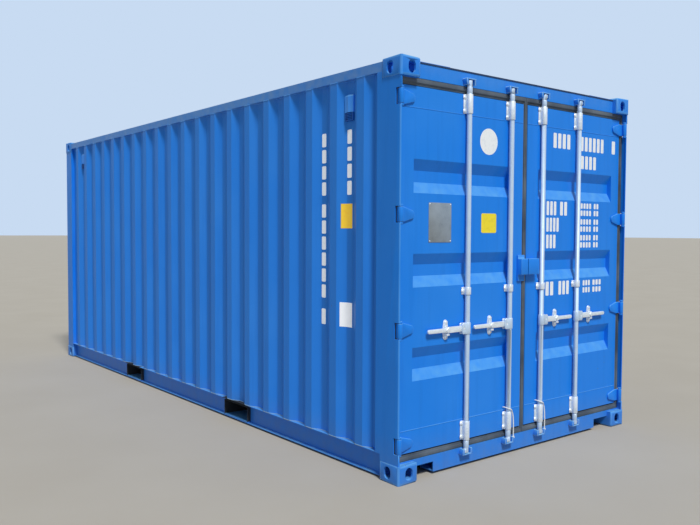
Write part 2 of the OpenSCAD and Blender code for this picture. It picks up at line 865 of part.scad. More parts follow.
// Door at +X, closing the end at +Y: two upright tubes and two channels that open inwards
module door_frame() {
    for (x = [[seam_x, stile_x_in], [stile_x_out, door_x]]) difference() {
        span(x[0], x[1], door_y_in, door_y, door_z, door_top);
        span(x[0] + door_wall, x[1] - door_wall, door_y_in + door_wall, door_y - door_wall,
            door_z - eps, door_top + eps);
    }
    for (z = [[door_z, door_z + door_rail_h], [door_top - door_rail_top_h, door_top]]) difference() {
        span(stile_x_in, stile_x_out, door_y_in, door_y, z[0], z[1]);
        span(stile_x_in - eps, stile_x_out + eps, door_y_in - eps, door_y - door_wall,
            z[0] + door_wall, z[1] - door_wall);
    }
}

// Pressed sheet between the door's tubes
module door_panel() {
    face = door_y - door_sheet;
    half = press_flat / 2;
    line = concat([[door_z + door_rail_h, face]], [for (z = press_z) each [
        [z - half - press_slope, face], [z - half, face - press_depth],
        [z + half, face - press_depth], [z + half + press_slope, face]
    ]], [[door_top - door_rail_top_h, face]]);
    translate([stile_x_in, 0, 0]) rotate([90, 0, 90]) linear_extrude(stile_x_out - stile_x_in)
        polygon(swapped(thick(line, door_sheet)));
}

// Rubber seal round the door's four edges
module door_gasket() {
    y1 = door_y - gasket_inset;
    y0 = y1 - gasket_t;
    difference() {
        span(seam_x - gasket_mid_w, side_x - post_t - clear, y0, y1, sill_top + clear, header_z - clear);
        span(seam_x, door_x, y0 - eps, y1 + eps, door_z, door_top);
    }
}

// Blade from its knuckle on the pin to the door face, at the +X side
module hinge_blade() {
    difference() {
        intersection() {
            linear_extrude(blade_h, center = true) {
                translate([pin_x, pin_y]) circle(r = knuckle_r, $fn = 64);
                translate([pin_x - blade_l, door_y]) square([blade_l, blade_t]);
                translate([pin_x - blade_t, door_y]) square([blade_t + knuckle_r / 2, pin_y - door_y]);
            }
            translate([pin_x, pin_y + knuckle_r + eps, 0]) rotate([90, 0, 0])
                linear_extrude(pin_y + knuckle_r - door_y + 2 * eps) blade_front();
        }
        translate([pin_x, pin_y, 0])
            cylinder(r = pin_r + pin_gap, h = blade_h + 2 * eps, center = true, $fn = 64);
    }
}

// Front view of a blade: full height at the knuckle, narrower and rounded at the tip
module blade_front() {
    r = blade_tip_h / 2;
    h = blade_h / 2 + eps;
    polygon([[knuckle_r + eps, -h], [knuckle_r + eps, h], [-blade_full, h],
        [r - blade_l, r], [r - blade_l, -r], [-blade_full, -h]]);
    translate([r - blade_l, 0]) circle(r = r, $fn = 48);
}

module hinge_blades() {
    at_hinges() hinge_blade();
}

// Strap over a bar with its plate on the door
module bar_bracket(h) {
    difference() {
        union() {
            translate([-bracket_w / 2, door_y, -h / 2]) cube([bracket_w, bracket_t, h]);
            translate([0, bar_y, -h / 2]) cylinder(r = strap_r, h = h, $fn = 64);
            translate([-strap_r, door_y, -h / 2]) cube([2 * strap_r, bar_y - door_y, h]);
        }
        translate([0, bar_y, -h / 2 - eps]) cylinder(r = bar_r + bearing_gap, h = h + 2 * eps, $fn = 64);
    }
}

module bar_brackets() {
    for (x = [bar_x_in, bar_x_out]) translate([x, 0, 0]) {
        translate([0, 0, door_top - bracket_top_edge - bracket_h / 2]) bar_bracket(bracket_h);
        translate([0, 0, door_z + bracket_edge + bracket_h / 2]) bar_bracket(bracket_h);
        translate([0, 0, guide_z]) bar_bracket(guide_h);
    }
}

// Front of a retainer's plate, drawn in by an edge: round ends, widest where the handle crosses
module retainer_front(edge) {
    up = retainer_h / 2 - lobe_r;
    down = retainer_h / 2 - lobe_low_r;
    translate([0, up]) circle(r = lobe_r - edge, $fn = 48);
    translate([0, -down]) circle(r = lobe_low_r - edge, $fn = 48);
    polygon([
        [edge - lobe_r, up], [edge - retainer_w / 2, 0], [edge - lobe_low_r, -down],
        [lobe_low_r - edge, -down], [retainer_w / 2 - edge, 0], [lobe_r - edge, up]
    ]);
}

// Plate, boss and ledge that hold a handle
module handle_retainer() {
    ledge_top = handle_z - handle_h / 2 - clear;
    translate([0, door_y + retainer_t, handle_z]) rotate([90, 0, 0]) linear_extrude(retainer_t)
        retainer_front(0);
    translate([0, door_y + retainer_t + boss_t, handle_z]) rotate([90, 0, 0])
        linear_extrude(retainer_t + boss_t) retainer_front(boss_edge);
    span(-ledge_w / 2, ledge_w / 2, door_y, door_y + ledge_l, ledge_top - ledge_h, ledge_top);
}

module handle_retainers() {
    for (x = [bar_x_in, bar_x_out]) translate([x + retainer_x, 0, 0]) handle_retainer();
}

// Part of the lock box over the left door, with the flange behind it; the left door is at -X
module left_lock_flange() {
    x0 = -lock_x_left;
    x1 = -lock_slot;
    top = lock_z + lock_h;
    color(blue) mirror([0, 1, 0]) {
        difference() {
            span(x0, x1, door_y, door_y + lock_l, lock_z, top);
            span(x0 + lock_wall, x1 + eps, door_y - eps, door_y + lock_l - lock_wall,
                lock_z - eps, top - lock_wall);
        }
        span(x0, x1, door_y, door_y + lock_flange_t, top, top + lock_flange_up);
        span(x0, x1, door_y, door_y + lock_flange_t, lock_z - lock_flange_down, lock_z);
    }
}

module right_lock_box() {
    color(blue) mirror([0, 1, 0]) difference() {
        span(0, lock_x, door_y, door_y + lock_l, lock_z, lock_z + lock_h);
        span(-eps, lock_x - lock_wall, door_y - eps, door_y + lock_l - lock_wall,
            lock_z - eps, lock_z + lock_h - lock_wall);
    }
}

// Bar with its necks, its cams and the hub that carries the handle towards +X
module locking_bar(x) {
    translate([x, bar_y, bar_z]) cylinder(r = bar_r, h = bar_top - bar_z, $fn = 64);
    translate([x, bar_y, sill_top + clear]) cylinder(r = neck_r, h = door_z - sill_top - clear, $fn = 64);
    translate([x, bar_y, neck_top_z]) cylinder(r = neck_r, h = header_z - clear - neck_top_z, $fn = 64);
    for (z = [bar_z, bar_top - cam_h]) translate([x, bar_y, z]) cam();
    translate([x, bar_y, handle_z]) difference() {
        union() {
            cylinder(r = collar_r, h = collar_h, center = true, $fn = 64);
            for (s = [-1, 1]) translate([0, s * (hub_gap + cheek_t) / 2, 0]) rotate([90, 0, 0])
                linear_extrude(cheek_t, center = true) cheek_front();
        }
        translate([handle_pin_x, 0, 0]) rotate([90, 0, 0])
            cylinder(d = handle_pin_d + 2 * handle_pin_gap, h = hub_gap + 4 * cheek_t, center = true,
                $fn = 48);
    }
}

// Front of a hub's cheek, from the bar's axis outwards
module cheek_front() {
    h = cheek_h / 2;
    polygon([
        [0, -h], [cheek_l - cheek_t, -h], [cheek_l, cheek_t - h],
        [cheek_l, h - cheek_t], [cheek_l - cheek_t, h], [0, h]
    ]);
}

// Cam: a nose that reaches sideways from the bar's end
module cam() {
    linear_extrude(cam_h) intersection() {
        circle(r = cam_r, $fn = 64);
        translate([0, -cam_w / 2]) square([cam_r, cam_w]);
    }
}

// Front of a handle: a tongue at the pin, a straight arm and a narrower grip with a round end
module handle_front() {
    root = handle_pin_x - collar_r - clear - cheek_gap;
    arm = handle_h / 2;
    tip = handle_tip_h / 2;
    translate([handle_pin_x, 0]) circle(r = root, $fn = 48);
    polygon([
        [handle_pin_x, -root], [cheek_l, -arm], [retainer_x, -arm], [retainer_x + handle_taper, -tip],
        [handle_l - tip, -tip], [handle_l - tip, tip], [retainer_x + handle_taper, tip],
        [retainer_x, arm], [cheek_l, arm], [handle_pin_x, root]
    ]);
    translate([handle_l - tip, 0]) circle(r = tip, $fn = 48);
}

// Handle with its pin and the diamond on its front, reaching from its bar towards +X
module handle(x) {
    translate([x, bar_y, handle_z]) rotate([90, 0, 0]) {
        linear_extrude(handle_t, center = true) handle_front();
        translate([handle_pin_x, 0, 0])
            cylinder(d = handle_pin_d, h = hub_gap + 2 * cheek_t + 2 * cheek_gap, center = true, $fn = 48);
        translate([retainer_x, 0, -handle_t / 2 - diamond_t]) linear_extrude(diamond_t) polygon([
            [-diamond / 2, 0], [0, -diamond / 2], [diamond / 2, 0], [0, diamond / 2]
        ]);
    }
}

// Unit vector from one point to another
function along(a, b) = (b - a) / norm(b - a);

// Ring of points round point p, square to direction d
function ring(p, d, r) = let (u = along([0, 0, 0], cross(d, [0.3, 1, 0.2])), v = cross(d, u))
    [for (k = [0:rope_sides - 1]) p + r * (cos(360 * k / rope_sides) * u + sin(360 * k / rope_sides) * v)];

// Round tube that follows a line of points
module swept(points, r) {
    n = len(points);
    m = rope_sides;
    dirs = [for (i = [0:n - 1]) along(points[max(i - 1, 0)], points[min(i + 1, n - 1)])];
    rings = [for (i = [0:n - 1]) each ring(points[i], i == 0 ? [0, -1, 0] : dirs[i], r)];
    sides = [for (i = [0:n - 2]) for (k = [0:m - 1])
        [i * m + k, (i + 1) * m + k, (i + 1) * m + (k + 1) % m, i * m + (k + 1) % m]];
    ends = [[for (k = [0:m - 1]) k], [for (k = [m - 1:-1:0]) (n - 1) * m + k]];
    polyhedron(rings, concat(sides, ends));
}

function rope_route(x) = [for (p = ROPE) [x + p[0], p[1] - bar_y, p[2]]];

module tie_rope(x) {
    color(rope_white) swept(rope_route(x), rope_d / 2);
}

// Knot at a rope's free end
module rope_knot(x) {
    last = ROPE[len(ROPE) - 1];
    low = knot_r * 0.7;
    color(rope_white) translate([x + last[0], last[1] - bar_y, last[2] - knot_r]) rotate_extrude($fn = 24)
        polygon([[0, -knot_r], [low, -low], [knot_r, 0], [rope_d / 2, knot_r], [0, knot_r]]);
}

rear_castings();
front_castings();
rear_posts();
front_posts();
door_header();
door_sill();
front_top_rail();
front_bottom_rail();
top_side_rails();
bottom_side_rails();
left_side_wall();
right_side_wall();
front_wall();
roof_panel();
roof_end_plates();
roof_corner_plates();
floor_boards();
floor_strip();
crossmembers();
fork_pocket_tops();
fork_pocket_sides();
fork_pocket_straps();
ventilators();
hinge_lugs();
bar_keepers();
color(blue) on_left() door_frame();  // left_door_frame
color(blue) on_left() door_panel();  // left_door_panel
color(rubber_black) on_left() door_gasket();  // left_door_gasket
color(blue) on_left() hinge_blades();  // left_hinge_blades
color(zinc) on_left() bar_brackets();  // left_bar_brackets
color(zinc) on_left() handle_retainers();  // left_handle_retainers
left_lock_flange();
color(blue) on_right() door_frame();  // right_door_frame
color(blue) on_right() door_panel();  // right_door_panel
color(rubber_black) on_right() door_gasket();  // right_door_gasket
color(blue) on_right() hinge_blades();  // right_hinge_blades
color(zinc) on_right() bar_brackets();  // right_bar_brackets
color(zinc) on_right() handle_retainers();  // right_handle_retainers
right_lock_box();
color(zinc) on_left() locking_bar(bar_x_out);  // left_outer_bar
color(zinc) on_left() locking_bar(bar_x_in);  // left_inner_bar
color(zinc) on_right() locking_bar(bar_x_in);  // right_inner_bar
color(zinc) on_right() locking_bar(bar_x_out);  // right_outer_bar
color(zinc) on_left() handle(bar_x_out);  // left_outer_handle
color(zinc) on_left() handle(bar_x_in);  // left_inner_handle
color(zinc) on_right() handle(bar_x_in);  // right_inner_handle
color(zinc) on_right() handle(bar_x_out);  // right_outer_handle
tie_rope(-bar_x_in);  // left_tie_rope
tie_rope(bar_x_in);  // right_tie_rope
rope_knot(-bar_x_in);  // left_rope_knot
rope_knot(bar_x_in);  // right_rope_knot
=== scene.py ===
# %% [markdown]
# # Dressing a twenty-foot shipping container
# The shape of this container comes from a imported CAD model, which is loaded below as a fixed frame.
# Blender gives it its paint, zinc, rubber and plywood, and the small things that are too fine for
# the CAD model: rivets, weld seams, rope strands, vent slots and stuck-on marks.
# Sizes are in metres where no comment says mm. X runs across the box, Y along it, Z up, and the doors
# face -Y.

# %% Load the frame
import json
import math

import bpy
import bmesh
from mathutils import Matrix, Vector


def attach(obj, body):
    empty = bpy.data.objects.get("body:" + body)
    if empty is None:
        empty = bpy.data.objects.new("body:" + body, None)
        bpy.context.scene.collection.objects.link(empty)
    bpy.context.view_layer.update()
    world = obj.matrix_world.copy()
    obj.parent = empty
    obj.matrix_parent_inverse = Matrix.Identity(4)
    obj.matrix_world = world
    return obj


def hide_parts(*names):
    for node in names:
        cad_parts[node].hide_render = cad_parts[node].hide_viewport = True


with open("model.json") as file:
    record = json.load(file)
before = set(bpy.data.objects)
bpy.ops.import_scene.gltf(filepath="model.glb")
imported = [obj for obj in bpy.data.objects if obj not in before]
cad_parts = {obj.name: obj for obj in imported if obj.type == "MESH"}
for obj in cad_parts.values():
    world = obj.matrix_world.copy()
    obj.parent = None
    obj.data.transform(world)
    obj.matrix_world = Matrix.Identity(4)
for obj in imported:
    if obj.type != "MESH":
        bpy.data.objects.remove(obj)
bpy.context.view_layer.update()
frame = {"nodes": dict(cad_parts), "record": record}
SIDES = (("left", -1), ("right", 1))

# %% [markdown]
# ## The camera
# The picture was taken at eye height, close to the left corner of the doors, with the lens held
# almost level. Place, direction and focal length were worked out from the corners of the box, so the
# camera is written as a place and three turns: about the upright, up or down, and round its own axis.

# %% Camera
CAMERA_AT = (-4.2319, -6.3349, 1.5431)
HEADING, DIP, ROLL = -38.5400, 2.4018, 0.2693  # degrees from +Y, below level and round the lens's axis
lens_data = bpy.data.cameras.new("view_from_the_yard")
lens_data.sensor_fit = "HORIZONTAL"
lens_data.sensor_width = 36.0
lens_data.lens = 38.535
camera = bpy.data.objects.new("view_from_the_yard", lens_data)
bpy.context.scene.collection.objects.link(camera)
camera.matrix_world = (
    Matrix.Translation(CAMERA_AT)
    @ Matrix.Rotation(math.radians(HEADING), 4, "Z")
    @ Matrix.Rotation(math.radians(90 - DIP), 4, "X")
    @ Matrix.Rotation(math.radians(ROLL), 4, "Z")
)
bpy.context.scene.camera = camera
print("camera looks along", [round(v, 3) for v in camera.matrix_world.to_3x3() @ Vector((0, 0, -1))])

# %% [markdown]
# ## Helpers for new pieces
# An operator acts on everything that is selected, so each piece starts with nothing selected.
# In edit mode, faces, edges or points are then chosen by a test on their place or direction,
# which stays readable and doesn't depend on their numbers.

# %% Start a piece and choose its parts
def select_only(*pieces):
    """Leaves only these pieces selected, and makes the first one active."""
    if bpy.context.object and bpy.context.object.mode == "EDIT":
        bpy.ops.object.mode_set(mode="OBJECT")
    bpy.ops.object.select_all(action="DESELECT")
    for piece in pieces:
        piece.select_set(True)
    bpy.context.view_layer.objects.active = pieces[0] if pieces else None


def start(name, add, **settings):
    """Adds a primitive with nothing else selected, and puts its place into its mesh."""
    select_only()
    add(**settings)
    piece = bpy.context.object
    piece.name = piece.data.name = name
    bpy.ops.object.transform_apply(location=True, rotation=True, scale=True)
    return piece


def choose(piece, test, kind="FACE"):
    """Selects, in edit mode, the faces, edges or points of a piece that pass a test."""
    if bpy.context.object is not piece or piece.mode != "EDIT":
        select_only(piece)
        bpy.ops.object.mode_set(mode="EDIT")
    bpy.ops.mesh.select_mode(type=kind)
    bpy.ops.mesh.select_all(action="DESELECT")
    mesh = bmesh.from_edit_mesh(piece.data)
    parts = {"FACE": mesh.faces, "EDGE": mesh.edges, "VERT": mesh.verts}[kind]
    for part in parts:
        part.select_set(bool(test(part)))
    mesh.select_flush_mode()
    bmesh.update_edit_mesh(piece.data)


def modify(piece, kind, **settings):
    """Adds one modifier and applies it at once."""
    select_only(piece)
    step = piece.modifiers.new(kind.lower(), kind)
    for key, value in settings.items():
        setattr(step, key, value)
    bpy.ops.object.modifier_apply(modifier=step.name)


def joined(name, parts):
    """Several pieces as one."""
    select_only(*parts)
    if len(parts) > 1:
        bpy.ops.object.join()
    parts[0].name = parts[0].data.name = name
    return parts[0]


def copies(piece, name, moves):
    """Joins copies of one piece, each with its own mesh, at these moves, and drops the first one."""
    made = []
    for move in moves:
        twin = piece.copy()
        twin.data = piece.data.copy()
        bpy.context.scene.collection.objects.link(twin)
        twin.data.transform(move if isinstance(move, Matrix) else Matrix.Translation(move))
        made.append(twin)
    bpy.data.objects.remove(piece)
    return joined(name, made)


def finish_piece(piece, body, finish, angle=35):
    """Turns a piece's faces outwards, shades it, gives it its finish and hangs it on its body.

    A piece that already has its finishes is passed without one."""
    select_only(piece)
    bpy.ops.object.mode_set(mode="EDIT")
    bpy.ops.mesh.select_all(action="SELECT")
    bpy.ops.mesh.normals_make_consistent(inside=False)
    bpy.ops.object.mode_set(mode="OBJECT")
    bpy.ops.object.shade_smooth_by_angle(angle=math.radians(angle))
    if finish:
        piece.data.materials.clear()
        piece.data.materials.append(finish)
    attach(piece, body)
    print(f"{piece.name}: {len(piece.data.polygons)} faces, rides on {body}")
    return piece


# %% [markdown]
# ## Helpers for finishes
# Every finish is a small net of nodes that reads Object coordinates. The CAD nodes sit at the origin
# and unturned, so those coordinates are metres in the container's own frame, and a pattern's scale
# follows from a real size: one bump every 4 mm is a noise of scale 1000 / 4.

# %% Colours, nodes and real sizes
def colour(code):
    """An sRGB hex value as the linear colour that shaders work with."""
    channels = [int(code[i : i + 2], 16) / 255 for i in (1, 3, 5)]
    return [c / 12.92 if c <= 0.04045 else ((c + 0.055) / 1.055) ** 2.4 for c in channels] + [1.0]


def add(tree, kind, links=None, **settings):
    """Adds one node with its settings, and sets each input to a constant, a socket or a node's output."""
    made = tree.nodes.new(kind)
    for key, value in settings.items():
        setattr(made, key, value)
    for key, value in (links or {}).items():
        if isinstance(value, bpy.types.Node):
            value = next(out for out in value.outputs if out.enabled)
        if isinstance(value, bpy.types.NodeSocket):
            tree.links.new(value, made.inputs[key])
        else:
            made.inputs[key].default_value = value
    return made


def new_finish(name):
    """An empty material, its tree and its Object coordinates."""
    finish = bpy.data.materials.new(name)
    finish.use_nodes = True
    finish.node_tree.nodes.clear()
    place = add(finish.node_tree, "ShaderNodeTexCoord").outputs["Object"]
    return finish, finish.node_tree, place


# %% [markdown]
# ## Tie ropes
# A short rope hangs from the bracket at the foot of each inner locking bar: it comes out of the bracket
# beside the bar, passes in front of it and hangs down to a knot. It is laid from three strands, so it
# is a curve whose outline is a trefoil that turns as it goes, made a mesh at the end. The route is the
# same as in the CAD model, point by point.

# %% Route of a tie rope
ROPE_D = 0.009
LAY_LENGTH = 0.028  # one turn of the strands
ROUTE = [  # mm from the bar's axis to the right and to the back, and mm above the ground
    (-27, 24, 333), (-27, 14, 334), (-25, 3, 333), (-20, -10, 330), (-11, -20, 326), (1, -23, 321),
    (13, -19, 315), (23, -12, 309), (32, -7, 301), (39, -4, 291), (45, -3, 279), (49, -2, 265),
    (52, -2, 249), (54, -2, 231), (55, -2, 212), (56, -2, 191), (56, -2, 168), (56, -2, 144), (56, -2, 121),
]
BAR_Y = -3.004
INNER_BAR_X = 0.175


def smooth_route(points, steps):
    """A finer line through the points, with a smooth turn at each."""
    ends = [points[0] * 2 - points[1]] + points + [points[-1] * 2 - points[-2]]
    line = []
    for a, b, c, d in zip(ends, ends[1:], ends[2:], ends[3:]):
        for i in range(steps):
            t = i / steps
            line.append(0.5 * (2 * b + (c - a) * t + (2 * a - 5 * b + 4 * c - d) * t * t
                               + (3 * b - a - 3 * c + d) * t ** 3))
    return line + [points[-1]]


def run_length(line):
    """Length of a line of points."""
    return sum((b - a).length for a, b in zip(line, line[1:]))


rope_lines = {}
for side, sign in SIDES:
    points = [Vector((sign * INNER_BAR_X + x / 1000, BAR_Y + y / 1000, z / 1000)) for x, y, z in ROUTE]
    rope_lines[side] = smooth_route(points, 5)
    print(f"{side} tie rope: {run_length(rope_lines[side]):.3f} m in {len(rope_lines[side])} points")

# %% [markdown]
# A sewing thread and a hawser are laid the same way: each strand is a round lobe, and the lobes turn
# once over about three diameters. A curve swept along the route does this with its tilt, which is
# much lighter than three separate tubes and leaves no gaps between the strands.

# %% Sweep a trefoil along a line
def rope_finish():
    """Three-strand polyester: white, matt and fibrous, greyed by dust in patches of 14 mm."""
    finish, tree, place = new_finish("laid_polyester_rope")
    fibres = add(tree, "ShaderNodeTexNoise", {"Vector": place, "Scale": 1000 / 1.2, "Detail": 2.0})
    dust = add(tree, "ShaderNodeTexNoise", {"Vector": place, "Scale": 1000 / 14, "Detail": 3.0})
    share = add(tree, "ShaderNodeMapRange", {0: dust, 1: 0.45, 2: 0.8, 3: 0.0, 4: 0.3})
    white = add(tree, "ShaderNodeMix", {0: fibres, 6: colour("#E9ECEC"), 7: colour("#FCFCFA")},
                data_type="RGBA")
    tint = add(tree, "ShaderNodeMix", {0: share, 6: white, 7: colour("#A7A294")}, data_type="RGBA")
    relief = add(tree, "ShaderNodeBump", {"Height": fibres, "Distance": 0.0003})
    shader = add(tree, "ShaderNodeBsdfPrincipled",
                 {"Base Color": tint, "Roughness": 0.82, "IOR": 1.53, "Normal": relief})
    add(tree, "ShaderNodeOutputMaterial", {"Surface": shader})
    return finish


STRAND_DEPTH = 0.2  # how far the outline falls in between two strands, as a share of its radius


def trefoil(radius):
    """Closed outline of three strands: a flat curve that a longer curve can carry."""
    shape = bpy.data.curves.new("rope_outline", "CURVE")
    shape.dimensions = "2D"
    spline = shape.splines.new("POLY")
    spline.points.add(23)
    for i, point in enumerate(spline.points):
        turn = math.tau * i / 24
        reach = radius * (1 - STRAND_DEPTH + STRAND_DEPTH * abs(math.cos(1.5 * turn)) ** 0.6)
        point.co = (reach * math.cos(turn), reach * math.sin(turn), 0, 1)
    spline.use_cyclic_u = True
    outline = bpy.data.objects.new("rope_outline", shape)
    bpy.context.scene.collection.objects.link(outline)
    return outline


def swept(name, line, outline, **changes):
    """A mesh swept along a line of points, with its outline's settings and what changes at each point."""
    path = bpy.data.curves.new(name, "CURVE")
    path.dimensions = "3D"
    path.use_fill_caps = True
    for key, value in outline.items():
        setattr(path, key, value)
    spline = path.splines.new("POLY")
    spline.points.add(len(line) - 1)
    for i, (point, at) in enumerate(zip(spline.points, line)):
        point.co = (*at, 1)
        for key, value_at in changes.items():
            setattr(point, key, value_at(i))
    piece = bpy.data.objects.new(name, path)
    bpy.context.scene.collection.objects.link(piece)
    select_only(piece)
    bpy.ops.object.convert(target="MESH")
    return bpy.context.object


def lay_rope(name, line, diameter, lay_length):
    """A mesh of three strands that turn as they follow a line."""
    outline = trefoil(diameter / 2)
    rope = swept(name, line, {"bevel_mode": "OBJECT", "bevel_object": outline},
                 tilt=lambda i: math.tau * run_length(line[: i + 1]) / lay_length)
    bpy.data.objects.remove(outline)
    return rope


rope_white = rope_finish()
ropes = {}
for side, line in rope_lines.items():
    rope = lay_rope(side + "_laid_rope", line, ROPE_D, LAY_LENGTH)
    ropes[side] = finish_piece(rope, side + "_door", rope_white, 60)
    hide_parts(side + "_tie_rope")

# %% [markdown]
# The rope's free end is tied into a stopper knot, so that it doesn't fray or slip back. Seen
# close up such a knot is the same rope going round itself two and a half times, so it is the same
# sweep along a short helix, with its last turn passing down through the middle.

# %% Stopper knots
KNOT_ROPE_D, KNOT_LAY = 0.0082, 0.02  # the rope is pulled thinner and laid harder in its knot
KNOT_TURNS, KNOT_R, KNOT_H = 2.6, 0.0052, 0.0145
KNOT_STEPS = 45


def knot_line(top):
    """Line of a stopper knot that hangs under a point."""
    line = [top + Vector((0, 0, 0.002))]
    for i in range(KNOT_STEPS + 1):
        share = i / KNOT_STEPS
        turn = math.tau * KNOT_TURNS * share
        reach = KNOT_R * math.sin(math.pi * min(1.0, 0.25 + share * 0.75)) ** 0.5
        down = 0.001 + KNOT_H * share
        line.append(top + Vector((reach * math.cos(turn), reach * math.sin(turn), -down)))
    line.append(top + Vector((0, 0, -KNOT_H - 0.004)))
    return line


for side, rope in ropes.items():
    line = knot_line(rope_lines[side][-1])
    knot = lay_rope(side + "_stopper_knot", line, KNOT_ROPE_D, KNOT_LAY)
    finish_piece(knot, side + "_door", rope_white, 60)
    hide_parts(side + "_rope_knot")

# %% [markdown]
# ## Paint
# The whole box is steel, blasted, primed with zinc and sprayed with one blue marine enamel. Sprayed
# enamel has a satin shine broken by orange peel, a ripple of about 5 mm, and thin sheet lets the eye
# see long soft waves between the folds. Outdoors it chalks a little paler in patches, rain draws faint
# streaks down it, road dust greys the lowest 300 mm and a few chips show rust.
# One finish on Object coordinates does this for every steel piece, because patterns then run on
# unbroken from one piece to the next.

# %% Blue marine enamel
def enamel_finish(name, base, shade, chalk, bleach=0.12, shine=0.32):
    """Sprayed enamel on steel sheet: its three tones are the plain coat, its streaks and its chalking.

    Bleach is how far the sun has paled the coat under the roof's edge, and shine is its roughness."""
    finish, tree, place = new_finish(name)
    patches = add(tree, "ShaderNodeTexNoise", {"Vector": place, "Scale": 1000 / 700, "Detail": 4.0})
    chalky = add(tree, "ShaderNodeMapRange", {0: patches, 1: 0.45, 2: 0.8, 3: 0.0, 4: 0.5})
    upright = add(tree, "ShaderNodeMapping", {"Vector": place, "Scale": (1.0, 1.0, 0.06)})
    rain = add(tree, "ShaderNodeTexNoise", {"Vector": upright, "Scale": 1000 / 45, "Detail": 4.0,
                                            "Roughness": 0.6})
    streaks = add(tree, "ShaderNodeMapRange", {0: rain, 1: 0.5, 2: 0.8, 3: 0.0, 4: 0.28})
    coat = add(tree, "ShaderNodeMix", {0: chalky, 6: colour(base), 7: colour(chalk)}, data_type="RGBA")
    coat = add(tree, "ShaderNodeMix", {0: streaks, 6: coat, 7: colour(shade)}, data_type="RGBA")

    # Road dust near the ground, and a bleached band under the roof's edge
    height = add(tree, "ShaderNodeSeparateXYZ", {0: place}).outputs["Z"]
    near_ground = add(tree, "ShaderNodeMapRange", {0: height, 1: 0.0, 2: 0.3, 3: 0.4, 4: 0.0})
    grit = add(tree, "ShaderNodeTexNoise", {"Vector": place, "Scale": 1000 / 60, "Detail": 6.0})
    dust = add(tree, "ShaderNodeMath", {0: near_ground, 1: grit}, operation="MULTIPLY")
    coat = add(tree, "ShaderNodeMix", {0: dust, 6: coat, 7: colour("#7D7F82")}, data_type="RGBA")
    near_roof = add(tree, "ShaderNodeMapRange", {0: height, 1: 2.46, 2: 2.53, 3: 0.0, 4: bleach})
    bleached = add(tree, "ShaderNodeMath", {0: near_roof, 1: grit}, operation="MULTIPLY")
    coat = add(tree, "ShaderNodeMix", {0: bleached, 6: coat, 7: colour("#9DB4C4")}, data_type="RGBA")

    # Chalk and fine dust lie on whatever looks up, such as the lower slopes of the door's recesses, and the
    # pale tone there is also a painted highlight of the sun on them
    facing = add(tree, "ShaderNodeSeparateXYZ",
                 {0: add(tree, "ShaderNodeNewGeometry").outputs["Normal"]}).outputs["Z"]
    upward = add(tree, "ShaderNodeMapRange", {0: facing, 1: 0.2, 2: 0.6, 3: 0.0, 4: 0.75})
    dust_and_highlight = add(tree, "ShaderNodeMath", {0: upward, 1: grit}, operation="MULTIPLY")
    coat = add(tree, "ShaderNodeMix", {0: dust_and_highlight, 6: coat, 7: colour("#82C6DE")}, data_type="RGBA")

    # Chips of up to 8 mm, only where a slow pattern lets them through
    cells = add(tree, "ShaderNodeTexVoronoi", {"Vector": place, "Scale": 1000 / 55})
    knocks = add(tree, "ShaderNodeTexNoise", {"Vector": place, "Scale": 1000 / 420, "Detail": 2.0})
    reach = add(tree, "ShaderNodeMapRange", {0: knocks, 1: 0.56, 2: 0.75, 3: 0.0, 4: 0.07})
    chip = add(tree, "ShaderNodeMath", {0: cells.outputs["Distance"], 1: reach}, operation="LESS_THAN")
    coat = add(tree, "ShaderNodeMix", {0: chip, 6: coat, 7: colour("#6E4A38")}, data_type="RGBA")

    satin = add(tree, "ShaderNodeMapRange", {0: patches, 1: 0.3, 2: 0.8, 3: shine, 4: shine + 0.18})
    peel = add(tree, "ShaderNodeTexNoise", {"Vector": place, "Scale": 1000 / 5, "Detail": 1.0})
    waves = add(tree, "ShaderNodeTexNoise", {"Vector": place, "Scale": 1000 / 320, "Detail": 1.0})
    relief = add(tree, "ShaderNodeBump", {"Height": waves, "Distance": 0.006, "Strength": 0.6})
    relief = add(tree, "ShaderNodeBump", {"Height": peel, "Distance": 0.00015, "Strength": 0.7,
                                          "Normal": relief})
    shader = add(tree, "ShaderNodeBsdfPrincipled",
                 {"Base Color": coat, "Roughness": satin, "Specular IOR Level": 0.22, "Normal": relief})
    add(tree, "ShaderNodeOutputMaterial", {"Surface": shader})
    return finish


# The frame and doors share a coat, the thin walls are chalkier and duller, and the sun bleaches the rails
enamel = enamel_finish("blue_marine_enamel", "#1C83EA", "#146CCE", "#3C93EE")
wall_enamel = enamel_finish("blue_enamel_on_the_walls", "#2A86EA", "#2070D0", "#4293EC", 0.2, 0.42)
rail_enamel = enamel_finish("blue_enamel_bleached_by_sun", "#1A84E8", "#126ECC", "#4096EA", 0.55, 0.4)
print("enamel:", len(enamel.node_tree.nodes), "nodes")

# %% [markdown]
# ## Zinc
# The locking bars, their brackets and handles are forged and drawn steel, dipped in molten zinc. Zinc
# sets in flat crystals, its spangle, which differ a little in tone and in shine, and dulls to a pale
# bloom with darker runs where it was handled. The spangle goes into both its colour and its
# roughness, and the metallic value is low, because the bloom hides most of the metal.

